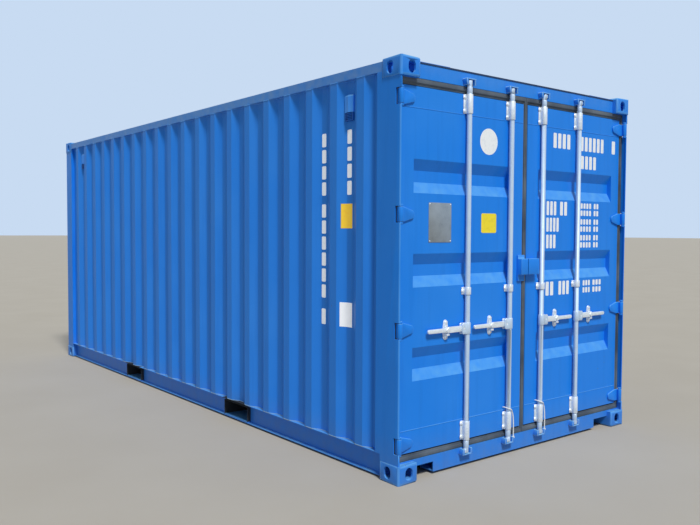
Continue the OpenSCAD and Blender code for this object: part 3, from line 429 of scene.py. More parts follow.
# %% Hot-dip galvanised steel
def zinc_finish(name, dull, bright, white, shade, rough, metallic=0.35):
    """Dipped zinc with crystals of about 9 mm, clouded by white bloom and dark handling marks."""
    finish, tree, place = new_finish(name)
    crystals = add(tree, "ShaderNodeTexVoronoi", {"Vector": place, "Scale": 1000 / 9,
                                                  "Randomness": 0.9}).outputs["Color"]
    tone = add(tree, "ShaderNodeSeparateColor", {0: crystals}).outputs["Red"]
    bloom = add(tree, "ShaderNodeTexNoise", {"Vector": place, "Scale": 1000 / 90, "Detail": 5.0})
    marks = add(tree, "ShaderNodeTexNoise", {"Vector": place, "Scale": 1000 / 25, "Detail": 4.0,
                                             "Roughness": 0.65})
    clouded = add(tree, "ShaderNodeMapRange", {0: bloom, 1: 0.35, 2: 0.7, 3: 0.0, 4: 1.0})
    handled = add(tree, "ShaderNodeMapRange", {0: marks, 1: 0.58, 2: 0.8, 3: 0.0, 4: 0.25})
    metal = add(tree, "ShaderNodeMix", {0: tone, 6: colour(dull), 7: colour(bright)}, data_type="RGBA")
    metal = add(tree, "ShaderNodeMix", {0: clouded, 6: metal, 7: colour(white)}, data_type="RGBA")
    metal = add(tree, "ShaderNodeMix", {0: handled, 6: metal, 7: colour(shade)}, data_type="RGBA")
    shine = add(tree, "ShaderNodeMapRange", {0: tone, 1: 0.0, 2: 1.0, 3: rough, 4: rough + 0.12})
    relief = add(tree, "ShaderNodeBump", {"Height": marks, "Distance": 0.0004, "Strength": 0.5})
    shader = add(tree, "ShaderNodeBsdfPrincipled",
                 {"Base Color": metal, "Metallic": metallic, "Roughness": shine, "Normal": relief})
    add(tree, "ShaderNodeOutputMaterial", {"Surface": shader})
    return finish


# Drawn tube comes out of the zinc smooth and bluish, and rough forgings paler and cloudier
zinc = zinc_finish("hot_dip_galvanised_tube", "#C0D6ED", "#C8DCF1", "#CADFF2", "#A4B8CC", 0.48, 0.25)
cast_zinc = zinc_finish("hot_dip_galvanised_forging", "#D8E6F0", "#ECF4FA", "#F2F8FC", "#9FAFBE", 0.44)
print("zinc:", len(zinc.node_tree.nodes), "nodes")

# %% [markdown]
# ## Rubber, undercoating and a dark strip
# Some matt materials differ only in their two tones, the size of their patches and their grain, so
# one function makes them all. The door seals are extruded EPDM, a black rubber. The underside's beams
# and fork pockets are sprayed with thick bitumen, whose near-black inside the pockets is also painted
# shade, and a dark navy strip runs along the header's top edge.

# %% Matt materials in patches of two tones
def patchy_finish(name, dark, pale, patch, roughness, grain=None, contrast=(0.0, 1.0)):
    """A matt material in two tones.

    Patch is (size in mm, detail), and grain is the same with its depth in metres."""
    finish, tree, place = new_finish(name)
    cloud = add(tree, "ShaderNodeTexNoise", {"Vector": place, "Scale": 1000 / patch[0], "Detail": patch[1]})
    share = add(tree, "ShaderNodeMapRange", {0: cloud, 1: contrast[0], 2: contrast[1], 3: 0.0, 4: 1.0})
    tone = add(tree, "ShaderNodeMix", {0: share, 6: colour(dark), 7: colour(pale)}, data_type="RGBA")
    shader = add(tree, "ShaderNodeBsdfPrincipled", {"Base Color": tone, "Roughness": roughness})
    if grain:
        size, detail, depth = grain
        skin = add(tree, "ShaderNodeTexNoise", {"Vector": place, "Scale": 1000 / size, "Detail": detail})
        relief = add(tree, "ShaderNodeBump", {"Height": skin, "Distance": depth})
        tree.links.new(relief.outputs["Normal"], shader.inputs["Normal"])
    add(tree, "ShaderNodeOutputMaterial", {"Surface": shader})
    return finish


# Black, but matt and paled in large patches by a bluish bloom like talc
rubber = patchy_finish("epdm_rubber", "#3E4A58", "#626E7A", (250, 4.0), 0.75, (3, 2.0, 0.0002),
                       (0.35, 0.65))
# Black, thick and grainy, dusted paler; inside the fork pockets its near-black is also painted shade
undercoat_and_pocket_shade = patchy_finish("bitumen_undercoating_with_painted_pocket_shade", "#10151B", "#2C3036", (200, 6.0), 0.8, (6, 3.0, 0.001))
# Dark navy, matt and dulled by dust
header_strip_navy = patchy_finish("dark_navy_header_strip", "#12294C", "#2A4468", (40, 4.0), 0.7,
                             (40, 4.0, 0.0005))
# Pale concrete, almost plain, so that the shadow on it reads
concrete = patchy_finish("pale_concrete", "#B1A99A", "#BBB4A6", (900, 5.0), 0.9)
print("matt materials:", [made.name for made in (rubber, undercoat_and_pocket_shade, header_strip_navy, concrete)])

# %% [markdown]
# ## Floor boards and floor steel
# The floor is marine plywood, tropical veneers whose grain runs along the box, with darker plies in
# its edges. The strip between the boards is rolled steel, worn bright in places by pallet trucks. Both
# have lines that run along the box, which are a noise stretched along Y.

# %% Plywood and rolled steel
def plywood_finish():
    """Marine plywood: grain lines 4 mm apart along Y, plies of 1.5 mm in Z, and scuffs."""
    finish, tree, place = new_finish("marine_plywood")
    along = add(tree, "ShaderNodeMapping", {"Vector": place, "Scale": (1.0, 0.03, 1.0)})
    grain = add(tree, "ShaderNodeTexNoise", {"Vector": along, "Scale": 1000 / 4, "Detail": 5.0,
                                             "Distortion": 0.6})
    boards = add(tree, "ShaderNodeTexNoise", {"Vector": along, "Scale": 1000 / 160, "Detail": 2.0})
    tone = add(tree, "ShaderNodeMix", {0: grain, 6: colour("#7E5230"), 7: colour("#B98A5A")},
               data_type="RGBA")
    tone = add(tree, "ShaderNodeMix", {0: boards, 6: tone, 7: colour("#9C6A42")}, data_type="RGBA")
    scuffs = add(tree, "ShaderNodeTexNoise", {"Vector": place, "Scale": 1000 / 110, "Detail": 8.0,
                                              "Roughness": 0.7})
    worn = add(tree, "ShaderNodeMapRange", {0: scuffs, 1: 0.5, 2: 0.7, 3: 0.0, 4: 0.45})
    tone = add(tree, "ShaderNodeMix", {0: worn, 6: tone, 7: colour("#6B5A4A")}, data_type="RGBA")
    relief = add(tree, "ShaderNodeBump", {"Height": grain, "Distance": 0.0005})
    shader = add(tree, "ShaderNodeBsdfPrincipled",
                 {"Base Color": tone, "Roughness": 0.55, "Normal": relief})
    add(tree, "ShaderNodeOutputMaterial", {"Surface": shader})
    return finish


def floor_steel_finish():
    """Rolled steel strip: grey paint scratched to metal in lines that run along the box."""
    finish, tree, place = new_finish("scratched_rolled_steel")
    along = add(tree, "ShaderNodeMapping", {"Vector": place, "Scale": (1.0, 0.02, 1.0)})
    lines = add(tree, "ShaderNodeTexNoise", {"Vector": along, "Scale": 1000 / 5, "Detail": 6.0,
                                             "Roughness": 0.7})
    bare = add(tree, "ShaderNodeMapRange", {0: lines, 1: 0.5, 2: 0.62, 3: 0.0, 4: 1.0})
    tone = add(tree, "ShaderNodeMix", {0: bare, 6: colour("#55585C"), 7: colour("#A3A6A8")},
               data_type="RGBA")
    shine = add(tree, "ShaderNodeMapRange", {0: bare, 1: 0.0, 2: 1.0, 3: 0.55, 4: 0.35})
    relief = add(tree, "ShaderNodeBump", {"Height": lines, "Distance": 0.0003})
    shader = add(tree, "ShaderNodeBsdfPrincipled",
                 {"Base Color": tone, "Metallic": 0.5, "Roughness": shine, "Normal": relief})
    add(tree, "ShaderNodeOutputMaterial", {"Surface": shader})
    return finish


plywood, floor_steel = plywood_finish(), floor_steel_finish()
print("floor:", plywood.name, "and", floor_steel.name)

# %% [markdown]
# ## Finish the CAD nodes
# Each CAD node's record names its material slot, so one table takes every node to its finish. Some
# have their own: the underside has its undercoating, the thin sheet of the walls chalks more than the
# frame, and the rails under the roof are bleached by the sun.

# %% Assign the finishes
OWN = {"crossmembers": undercoat_and_pocket_shade, "fork_pocket_tops": undercoat_and_pocket_shade, "fork_pocket_sides": undercoat_and_pocket_shade,
       "left_side_wall": wall_enamel, "right_side_wall": wall_enamel, "front_wall": wall_enamel,
       "top_side_rails": rail_enamel, "front_top_rail": rail_enamel}
FINISHES = {
    "blue_paint": enamel, "galvanised_steel": zinc, "gasket_rubber": rubber,
    "floor_plywood": plywood, "floor_steel": floor_steel, "rope_fibre": rope_white,
}
for part in frame["record"]["subparts"]:
    node = frame["nodes"][part["node"]]
    node.data.materials.clear()
    node.data.materials.append(OWN.get(part["node"], FINISHES[part["material_slot"]]))

# %% [markdown]
# ## Rounded edges
# Castings and forgings have no sharp edges. A casting leaves its mould with a radius of several
# millimetres, and plate that is cut and welded is ground by one or two. Those edges are what the eye
# finds first: each mirrors a bit of sky, and paint is thinner and chalkier on them. Their second finish
# is paler, partly for that chalk and partly as a painted highlight for the light they catch. The CAD
# nodes stay as they are, so each piece here is a copy of a node's mesh whose points are merged and
# whose flat faces are joined, and a bevel then rounds the edges that are left.

# %% Round the edges of a copy
body_of = {node: body for body, nodes in frame["record"]["behaviour"]["bodies"].items()
           for node in nodes}
# Edges are a little paler than the faces, partly chalk and partly a painted highlight, and where gear rubs
# they are worn nearly to the primer, with a painted highlight on top of that wear
chalk_and_highlight_enamel = enamel_finish("chalked_enamel_with_painted_highlight", "#3C92EC", "#2A7EDC", "#7CBCF8")
wear_and_highlight_enamel = enamel_finish("enamel_worn_thin_with_painted_highlight", "#8CC2F0", "#6FAEE6", "#C4E2F8")


def rounded(node, radius, coat, edge_coat, shortest=0.0, where=lambda middle: True,
            highlighted=lambda face: False):
    """Puts a copy with rounded edges, in a second finish that is paler, partly as a painted highlight, in the
    place of a CAD node.

    Only sharp outward edges longer than the shortest, and whose middle passes the test, are rounded.
    Faces that pass the highlighted test get the second finish too, as a painted highlight."""
    piece = bpy.data.objects.new("rounded_" + node, frame["nodes"][node].data.copy())
    bpy.context.scene.collection.objects.link(piece)
    piece.data.materials.clear()
    modify(piece, "WELD", merge_threshold=0.00002)
    modify(piece, "DECIMATE", decimate_type="DISSOLVE", angle_limit=math.radians(0.5))
    piece.data.materials.append(coat)
    piece.data.materials.append(edge_coat)
    choose(piece, lambda edge: len(edge.link_faces) == 2 and edge.is_convex
           and edge.calc_face_angle() > math.radians(38) and edge.calc_length() > shortest
           and where((edge.verts[0].co + edge.verts[1].co) / 2), "EDGE")
    bpy.ops.mesh.bevel(offset=radius, segments=2, material=1, clamp_overlap=False)
    bpy.ops.object.mode_set(mode="OBJECT")
    for face in piece.data.polygons:
        face.material_index = 1 if highlighted(face) else face.material_index
    finish_piece(piece, body_of[node], None)
    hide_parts(node)
    return piece


def outside(middle):
    """Whether the middle of a casting's edge lies on one of the container's own faces."""
    return abs(middle.x) > 1.19 or abs(middle.y) > 3.0 or not 0.01 < middle.z < 2.58


def upright_corner(face):
    """Whether a face is on a casting's rounded upright corner."""
    return (min(abs(face.normal.x), abs(face.normal.y)) > 0.2
            and abs(face.center.x) > 1.2 and abs(face.center.y) > 3.01)


# The castings' rounded upright corners get the paler finish as a painted highlight
for node in ("rear_castings", "front_castings"):
    rounded(node, 0.013, enamel, chalk_and_highlight_enamel, 0.1, outside, upright_corner)
# Of the posts only the outer front edge is rounded, and the lock box stays sharp where it is parted
rounded("rear_posts", 0.008, enamel, chalk_and_highlight_enamel, 0.5,
        lambda middle: abs(middle.x) > 1.212 and middle.y < -3.02)
# The keepers' upward faces get the pale worn finish: rubbed paint, and a painted highlight where the sun
# falls on them
rounded("bar_keepers", 0.0022, enamel, wear_and_highlight_enamel, highlighted=lambda face: face.normal.z > 0.7)
for node in ("hinge_lugs", "left_hinge_blades", "right_hinge_blades"):
    rounded(node, 0.0022, enamel, chalk_and_highlight_enamel)
for node in ("left_lock_flange", "right_lock_box"):
    rounded(node, 0.0025, enamel, chalk_and_highlight_enamel, where=lambda middle: abs(middle.x) > 0.02)

# %% [markdown]
# The zinc parts are rounded in the same way. Their edges are bright, because handling burnishes them, so
# their second finish is a smoother zinc, whose paler colour is partly a painted highlight.

# %% Round the zinc parts
burnish_and_highlight_zinc = zinc_finish("burnished_zinc_with_painted_highlight", "#E6EDF4", "#F0F6FC", "#F6FAFE", "#BFC9D2", 0.28, 0.5)
for side, sign in SIDES:
    rounded(side + "_bar_brackets", 0.0015, cast_zinc, burnish_and_highlight_zinc)
    rounded(side + "_handle_retainers", 0.0015, cast_zinc, burnish_and_highlight_zinc)
for bar in ("left_outer", "left_inner", "right_inner", "right_outer"):
    rounded(bar + "_bar", 0.0015, zinc, burnish_and_highlight_zinc)
    rounded(bar + "_handle", 0.002, cast_zinc, burnish_and_highlight_zinc)

# %% [markdown]
# ## Rivets on the door gear
# Brackets and retainers are held by lock bolts, which are pulled through the door and swaged: outside
# there is a low dome on a thin skirt. One is made, then copied to every hole. Those of the retainers
# are smaller and half as high, so that a lifted handle passes over them.

# %% One lock bolt, copied
def lock_bolt(name):
    """A domed head of 26 mm on a skirt of 30 mm, in the plane Y = 0, facing -Y."""
    head = start(name, bpy.ops.mesh.primitive_cylinder_add, vertices=16, radius=0.015, depth=0.0016,
                 location=(0, -0.0008, 0), rotation=(math.radians(90), 0, 0))
    choose(head, lambda face: face.normal.y < -0.9)
    bpy.ops.mesh.inset(thickness=0.002)
    bpy.ops.mesh.extrude_region_move(TRANSFORM_OT_translate={"value": (0, -0.003, 0)})
    bpy.ops.transform.resize(value=(0.86, 1, 0.86), center_override=(0, -0.0046, 0))
    bpy.ops.mesh.extrude_region_move(TRANSFORM_OT_translate={"value": (0, -0.0022, 0)})
    bpy.ops.transform.resize(value=(0.6, 1, 0.6), center_override=(0, -0.0068, 0))
    bpy.ops.object.mode_set(mode="OBJECT")
    return head


DOOR_Y = -2.980
BRACKET_FACE, RETAINER_FACE = DOOR_Y - 0.005, DOOR_Y - 0.012
BRACKETS = ((2.365, 0.044), (0.241, 0.044), (1.158, 0.0))  # height, and how far its bolts are above or below
BRACKET_BOLT_X, RETAINER_X, HANDLE_Z = 0.0265, 0.183, 0.915
LOW_BOLT = Matrix.Diagonal((0.85, 0.5, 0.85, 1))
BAR_X = {"left": (-0.598, -INNER_BAR_X), "right": (INNER_BAR_X, 0.598)}
# The lock bolts are all in the paler edge zinc, partly a painted highlight
for side, sign in SIDES:
    spots = []
    for x in BAR_X[side]:
        for middle, reach in BRACKETS:
            spots += [(x + dx, BRACKET_FACE, middle + dz) for dx in (-BRACKET_BOLT_X, BRACKET_BOLT_X)
                      for dz in sorted({-reach, reach})]
        spots += [Matrix.Translation((x + sign * RETAINER_X, RETAINER_FACE, HANDLE_Z + dz)) @ LOW_BOLT
                  for dz in (-0.046, 0.047)]
    bolts = copies(lock_bolt("bolt"), side + "_lock_bolts", spots)
    finish_piece(bolts, side + "_door", burnish_and_highlight_zinc)

# %% [markdown]
# ## Door seals
# Each door is edged by a rubber extrusion that closes the gap to the frame. Its outer lip lies level
# with the frame's face, where it catches the light, and falls back in two steps to a shaded groove at
# the door's edge. It would be laid round the door and mitred. Here a flat ring is cut out of one plane
# at the profile's lines, its outer strip is drawn forward as the lip, its inner strip back as the
# groove, and the steps are rounded.

# %% Two-lipped seal rings
def seal_ring(name, outer, inner, back, front, lip, groove):
    """A ring between two rectangles, given as (x0, x1, z0, z1), with a lip outside, a groove inside."""
    middle = ((outer[0] + outer[1]) / 2, front, (outer[2] + outer[3]) / 2)
    ring = start(name, bpy.ops.mesh.primitive_plane_add, size=1, location=middle,
                 rotation=(math.radians(90), 0, 0))
    choose(ring, lambda point: True, "VERT")
    bpy.ops.transform.resize(value=(outer[1] - outer[0], 1, outer[3] - outer[2]),
                             center_override=middle)
    shares = (0.5, 0.78, 1.0)  # where the lip ends, the groove starts and the ring ends
    for i in range(4):
        for share in shares:
            at = outer[i] + (inner[i] - outer[i]) * share
            bpy.ops.mesh.select_all(action="SELECT")
            bpy.ops.mesh.bisect(plane_co=(at, 0, 0) if i < 2 else (0, 0, at),
                                plane_no=(1, 0, 0) if i < 2 else (0, 0, 1))

    def share_at(face):
        """How far a face is from the outer edge (0) to the inner one (1)."""
        x, _, z = face.calc_center_median()
        ways = [(x - outer[0]) / (inner[0] - outer[0]), (x - outer[1]) / (inner[1] - outer[1]),
                (z - outer[2]) / (inner[2] - outer[2]), (z - outer[3]) / (inner[3] - outer[3])]
        return min(ways)

    choose(ring, lambda face: share_at(face) > 1.0)
    bpy.ops.mesh.delete(type="FACE")
    choose(ring, lambda face: True)
    bpy.ops.mesh.extrude_region_move(TRANSFORM_OT_translate={"value": (0, back - front, 0)})
    for strip, depth in ((lambda share: share < shares[0], lip), (lambda share: share > shares[1], groove)):
        choose(ring, lambda face: abs(face.calc_center_median().y - front) < 1e-5 and strip(share_at(face)))
        bpy.ops.mesh.extrude_region_move(TRANSFORM_OT_translate={"value": (0, depth - front, 0)})
    bpy.ops.object.mode_set(mode="OBJECT")
    modify(ring, "BEVEL", width=0.004, segments=3, limit_method="ANGLE",
           angle_limit=math.radians(50))
    return ring


for side, sign in SIDES:
    outer = [0.0015, 1.202, 0.1285, 2.4765]
    inner = [0.0265, 1.1645, 0.1735, 2.420]
    for box in (outer, inner):
        box[:2] = sorted(sign * x for x in box[:2])
    seal = seal_ring(side + "_seal_ring", outer, inner, back=-2.935, front=-2.975, lip=-2.984, groove=-2.962)
    finish_piece(seal, side + "_door", rubber)
    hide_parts(side + "_door_gasket")

# %% [markdown]
# ## Marks
# A container carries painted or stuck-on marks of thin vinyl. Here they are plain: rows of blank
# white blocks, a blank disc and square, two blank yellow reflectors and a blank aluminium plate. Each
# but the plate is a film of 0.4 mm. It stands as a real sheet on the paint, and not as a colour in it,
# so its edge shows and it can be moved by itself.

# %% Vinyl film and blank blocks
def vinyl_finish(name, base, worn, painted_glow=0.0):
    """Cast vinyl film: nearly flat, a little glossy, scuffed to a duller tone in patches of 30 mm.

    Its emission is a painted glow: painted light that keeps the film bright in the shade."""
    finish, tree, place = new_finish(name)
    rub = add(tree, "ShaderNodeTexNoise", {"Vector": place, "Scale": 1000 / 30, "Detail": 5.0,
                                           "Roughness": 0.65})
    share = add(tree, "ShaderNodeMapRange", {0: rub, 1: 0.5, 2: 0.75, 3: 0.0, 4: 0.7})
    tone = add(tree, "ShaderNodeMix", {0: share, 6: colour(base), 7: colour(worn)}, data_type="RGBA")
    shine = add(tree, "ShaderNodeMapRange", {0: share, 1: 0.0, 2: 1.0, 3: 0.32, 4: 0.6})
    relief = add(tree, "ShaderNodeBump", {"Height": rub, "Distance": 0.0001})
    shader = add(tree, "ShaderNodeBsdfPrincipled",
                 {"Base Color": tone, "Roughness": shine, "Normal": relief, "Emission Color": tone,
                  "Emission Strength": painted_glow})
    add(tree, "ShaderNodeOutputMaterial", {"Surface": shader})
    return finish


white_vinyl = vinyl_finish("white_vinyl_film", "#F4F8FA", "#D4DEE6")
# The white film on the side wall and the yellow reflector glow a little, painted light that keeps them bright
# in the shade
bright_vinyl = vinyl_finish("white_film_with_painted_glow", "#F6FAFF", "#E2EAF2", 0.2)
yellow_vinyl = vinyl_finish("yellow_reflective_film_with_painted_glow", "#F8CC34", "#E4B43A", 0.2)
lemon_vinyl = vinyl_finish("lemon_reflective_film", "#F8E22A", "#E2CC34")
print("films:", [made.name for made in (white_vinyl, bright_vinyl, yellow_vinyl, lemon_vinyl)])
FILM = 0.0004


def film(name, width, height, corner):
    """A blank rectangle of film with round corners, its back on the plane Y = 0, facing -Y."""
    piece = start(name, bpy.ops.mesh.primitive_cube_add, size=1, location=(0, -FILM / 2, 0),
                  scale=(width, FILM, height))
    choose(piece, lambda edge: abs((edge.verts[0].co - edge.verts[1].co).normalized().y) > 0.9, "EDGE")
    bpy.ops.mesh.bevel(offset=corner, segments=3)
    bpy.ops.object.mode_set(mode="OBJECT")
    return piece


# %% [markdown]
# The marks on the right door stand in rows. A row is written as its ends, its heights and its count,
# and one block is copied evenly between the ends. An array modifier would do for one row, but a table
# and a loop do for all of them.

# %% Blocks on the right door
# Each row: left and right end, bottom and top, in mm, and how many blocks it has
ROWS = [
    (312, 531, 2154, 2262, 4), (645, 961, 2154, 2260, 6), (1056, 1121, 2156, 2257, 1),
    (653, 863, 2019, 2117, 4), (245, 372, 1665, 1766, 3), (404, 503, 1665, 1766, 2),
    (245, 404, 1546, 1647, 4), (245, 368, 1425, 1524, 3), (245, 352, 1081, 1182, 2),
    (400, 541, 1081, 1182, 3),
]
for low in (1426, 1546, 1666):
    for z in (low, low + 54):
        ROWS += [(661, 808, z, z + 41, 4), (832, 903, z, z + 41, 2)]
for z in (1082, 1136):
    ROWS += [(705, 808, z, z + 41, 3), (832, 954, z, z + 41, 3)]

rows = []
for x0, x1, z0, z1, count in ROWS:
    pitch = (x1 - x0) / count
    block = film("block", pitch * 0.68 / 1000, (z1 - z0) / 1000, 0.007)
    rows.append(copies(block, "row", [((x0 + pitch * (i + 0.5)) / 1000, DOOR_Y, (z0 + z1) / 2000)
                                      for i in range(count)]))
door_blocks = joined("door_blank_blocks", rows)
finish_piece(door_blocks, "right_door", white_vinyl)

# %% [markdown]
# On the side wall the blocks stand one above another in the troughs between the folds. The reflector
# and the square under it are wider than a trough, so they are pressed over the folds: a flat film is
# cut at the fold lines and its outer strips follow the slopes.

# %% Marks on the side wall
TROUGH_X, NEAR_TROUGH = -1.177, -2.502
FLAT, SLOPE_RUN, SLOPE_RISE = 0.070, 0.068, 0.036
TURN_TO_WALL = Matrix.Rotation(math.radians(-90), 4, "Z")


def column(trough_y, top, bottom, count):
    """Blank blocks under one another in a trough of the left wall."""
    pitch = (top - bottom) / count
    block = film("block", 0.046, pitch * 0.82, 0.008)
    return copies(block, "column", [
        Matrix.Translation((TROUGH_X, trough_y, top - pitch * (i + 0.5))) @ TURN_TO_WALL
        for i in range(count)])


def over_folds(name, y0, y1, z0, z1):
    """A film between y0 and y1 across the trough nearest the door, whose edges run up its slopes."""
    piece = start(name, bpy.ops.mesh.primitive_cube_add, size=1,
                  location=(TROUGH_X - FILM / 2, (y0 + y1) / 2, (z0 + z1) / 2),
                  scale=(FILM, y1 - y0, z1 - z0))
    for sign, end in ((-1, y0), (1, y1)):
        fold = NEAR_TROUGH + sign * FLAT / 2
        choose(piece, lambda face: True)
        bpy.ops.mesh.bisect(plane_co=(0, fold, 0), plane_no=(0, 1, 0))
        choose(piece, lambda point: sign * (point.co.y - fold) > 0.001, "VERT")
        rise = max(0.0, sign * (end - fold)) * SLOPE_RISE / SLOPE_RUN
        bpy.ops.transform.translate(value=(-rise, 0, 0))
    bpy.ops.object.mode_set(mode="OBJECT")
    return piece


wall_blocks = joined("wall_blank_blocks", [
    column(-2.213, 2.212, 1.774, 4), column(-2.213, 1.734, 1.077, 6),
    column(-2.213, 1.023, 0.893, 1), column(-2.491, 2.213, 1.770, 4),
])
finish_piece(wall_blocks, "container", bright_vinyl)
reflector = over_folds("wall_reflector", -2.522, -2.428, 1.561, 1.722)
finish_piece(reflector, "container", yellow_vinyl)
square = over_folds("wall_blank_square", -2.524, -2.422, 0.911, 1.072)
finish_piece(square, "container", bright_vinyl)

# %% [markdown]
# The left door has a blank disc and a blank reflector, and a blank plate of 3 mm anodised aluminium
# with four rivets through the door sheet. The plate starts as a film, and its front is drawn out, inset
# and raised once more, which leaves the chamfer that such a plate is stamped with.

# %% Disc, reflector and plate
disc = start("door_blank_disc", bpy.ops.mesh.primitive_cylinder_add, vertices=48, radius=0.087,
             depth=FILM, location=(-0.380, DOOR_Y - FILM / 2, 2.142),
             rotation=(math.radians(90), 0, 0))
choose(disc, lambda face: face.normal.y < -0.9)
bpy.ops.mesh.inset(thickness=0.002)
finish_piece(disc, "left_door", white_vinyl)

reflector = film("reflector", 0.150, 0.130, 0.012)
reflector = copies(reflector, "door_reflector", [(-0.372, DOOR_Y, 1.600)])
finish_piece(reflector, "left_door", lemon_vinyl)

# Anodised aluminium is darker and more metallic than the zinc, with the same cloudy marks
aluminium = zinc_finish("anodised_aluminium_plate", "#8F989F", "#9AA3AA", "#A4ADB3", "#7A838A", 0.4, 0.6)
PLATE_X, PLATE_Z = -0.8345, 1.599
plate = film("plate", 0.201, 0.250, 0.006)
plate = copies(plate, "door_bare_plate", [(PLATE_X, DOOR_Y, PLATE_Z)])
choose(plate, lambda face: face.normal.y < -0.9)
bpy.ops.mesh.extrude_region_move(TRANSFORM_OT_translate={"value": (0, -0.0018, 0)})
bpy.ops.mesh.inset(thickness=0.0012)
bpy.ops.transform.translate(value=(0, -0.0006, 0))
finish_piece(plate, "left_door", aluminium)
SMALL_RIVET = Matrix.Diagonal((0.3, 0.5, 0.3, 1))
# The plate's rivets are in the paler edge zinc too, partly a painted highlight
studs = copies(lock_bolt("stud"), "door_plate_rivets", [
    Matrix.Translation((PLATE_X + dx, DOOR_Y - 0.0028, PLATE_Z + dz)) @ SMALL_RIVET
    for dx in (-0.092, 0.092) for dz in (-0.116, 0.116)])
finish_piece(studs, "left_door", burnish_and_highlight_zinc)

# %% [markdown]
# ## Ventilator hoods
# Air gets in and out through hoods high on the side walls. A hood is pressed: its front is folded
# along the middle, so that one half catches the light, and rain-shedding slots cross its lower third.
# It starts as the CAD node's own box, gets its ridge by a cut and a push, and its slots by pressing
# back five narrow bands. Its finish is painted lighter than the wall, a painted light for the sun it
# catches, and round the slots it is painted darker, a painted shade.

# %% Hoods with a ridge and slots
HOOD_LOW, HOOD_HIGH, HOOD_OUT, HOOD_HALF = 2.257, 2.425, 0.024, 0.042
SLOTS, SLOT_H, SLOT_PITCH, SLOT_HALF = 5, 0.005, 0.0105, 0.034
SLOTS_LOW, SLOTS_TOP = HOOD_LOW + 0.008, 2.315


def hood(name, sign):
    """One hood on the left (-1) or right (1) wall, centred on Y = 0."""
    base = -TROUGH_X * sign
    piece = start(name, bpy.ops.mesh.primitive_cube_add, size=1,
                  location=(base + sign * HOOD_OUT / 2, 0, (HOOD_LOW + HOOD_HIGH) / 2),
                  scale=(HOOD_OUT, 2 * HOOD_HALF, HOOD_HIGH - HOOD_LOW))
    choose(piece, lambda face: True)
    cuts = [(0, y, 0) for y in (0.0, -SLOT_HALF, SLOT_HALF)]
    cuts += [(0, 0, SLOTS_LOW + SLOT_PITCH * i + dz) for i in range(SLOTS) for dz in (0.0, SLOT_H)]
    cuts += [(0, 0, HOOD_HIGH - 0.012)]
    for at in cuts:
        bpy.ops.mesh.select_all(action="SELECT")
        bpy.ops.mesh.bisect(plane_co=at, plane_no=(0, 1, 0) if at[2] == 0 else (0, 0, 1))

    # The front folds back by 7 mm from its ridge, and its top edge by 8 mm
    front = base + sign * HOOD_OUT
    choose(piece, lambda point: abs(point.co.x - front) < 1e-4 and abs(point.co.y) > 0.01, "VERT")
    bpy.ops.transform.translate(value=(-sign * 0.007, 0, 0))
    choose(piece, lambda point: abs(point.co.x - base) > 0.01 and point.co.z > HOOD_HIGH - 0.002, "VERT")
    bpy.ops.transform.translate(value=(-sign * 0.008, 0, 0))

    def in_slot(face):
        """Whether a face is one of the bands that become slots."""
        _, y, z = face.calc_center_median()
        return (face.normal.x * sign > 0.5 and abs(y) < SLOT_HALF and SLOTS_LOW < z < SLOTS_TOP
                and (z - SLOTS_LOW) % SLOT_PITCH < SLOT_H)

    choose(piece, in_slot)
    bpy.ops.mesh.extrude_region_move(TRANSFORM_OT_translate={"value": (-sign * 0.008, 0, -0.003)})
    bpy.ops.object.mode_set(mode="OBJECT")
    return piece


# The hoods are painted brighter than the wall behind them, painted light for the sun they catch, and round
# their slots they are painted nearly navy, a painted shade
hood_enamel_painted_lighter = enamel_finish("enamel_painted_lighter_on_hoods", "#3E98FF", "#2E88F4", "#6CB4FF", 0.0)
shaded_enamel = enamel_finish("enamel_painted_shade_round_slots", "#0B4FA4", "#083F88", "#1860B8")
hoods = joined("ventilator_hoods", [
    copies(hood("hood", sign), "hoods", [(0, NEAR_TROUGH, 0), (0, -NEAR_TROUGH, 0)]) for side, sign in SIDES])
finish_piece(hoods, "container", hood_enamel_painted_lighter, 20)
hoods.data.materials.append(shaded_enamel)
for face in hoods.data.polygons:
    face.material_index = int(face.center.z < SLOTS_TOP)
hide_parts("ventilators")

# %% [markdown]
# ## Weld seams
# The box is welded together. A seam shows as a raised bead with a fine ripple, one scale for each
# step of the arc, and being round it always has a line that catches the light. A bead is a thin
# round of few faces, half sunk in the steel, that follows a line and swells and shrinks by a tenth.

# %% Beads along lines
def bead(name, line, radius):
    """A rippled weld bead along points that stand about a step of the arc apart."""
    return swept(name, line, {"bevel_depth": radius, "bevel_resolution": 1},
                 radius=lambda i: 1.0 + 0.1 * math.sin(2.3 * i) + 0.05 * math.sin(0.7 * i))


def between(a, b, step=0.008):
    """Points from one place to another, a step apart."""
    a, b = Vector(a), Vector(b)
    count = max(2, round((b - a).length / step))
    return [a.lerp(b, i / count) for i in range(count + 1)]


BEAD_Y = DOOR_Y - 0.0003
BEAD_FROM, BEAD_TO = 0.026, 1.163  # just within the seal on both sides
# The foot bead gets the paler edge finish, a painted highlight on its lit top; the head bead keeps the plain
# coat
for side, sign in SIDES:
    for word, z, coat in (("foot", 0.314, chalk_and_highlight_enamel), ("head", 2.298, enamel)):
        line = between((sign * BEAD_FROM, BEAD_Y, z), (sign * BEAD_TO, BEAD_Y, z))
        seam = bead(f"{side}_door_{word}_bead", line, 0.0022)
        finish_piece(seam, side + "_door", coat, 60)

# %% [markdown]
# Along the foot and the head of each side wall the bead follows the folds in and out. Its line is
# worked out from the measures of one fold, so it lies on the wall at every fold.

# %% Beads along the side walls
CREST_FLAT, FOLDS = 0.072, 20
FOLD_PITCH = CREST_FLAT + FLAT + 2 * SLOPE_RUN


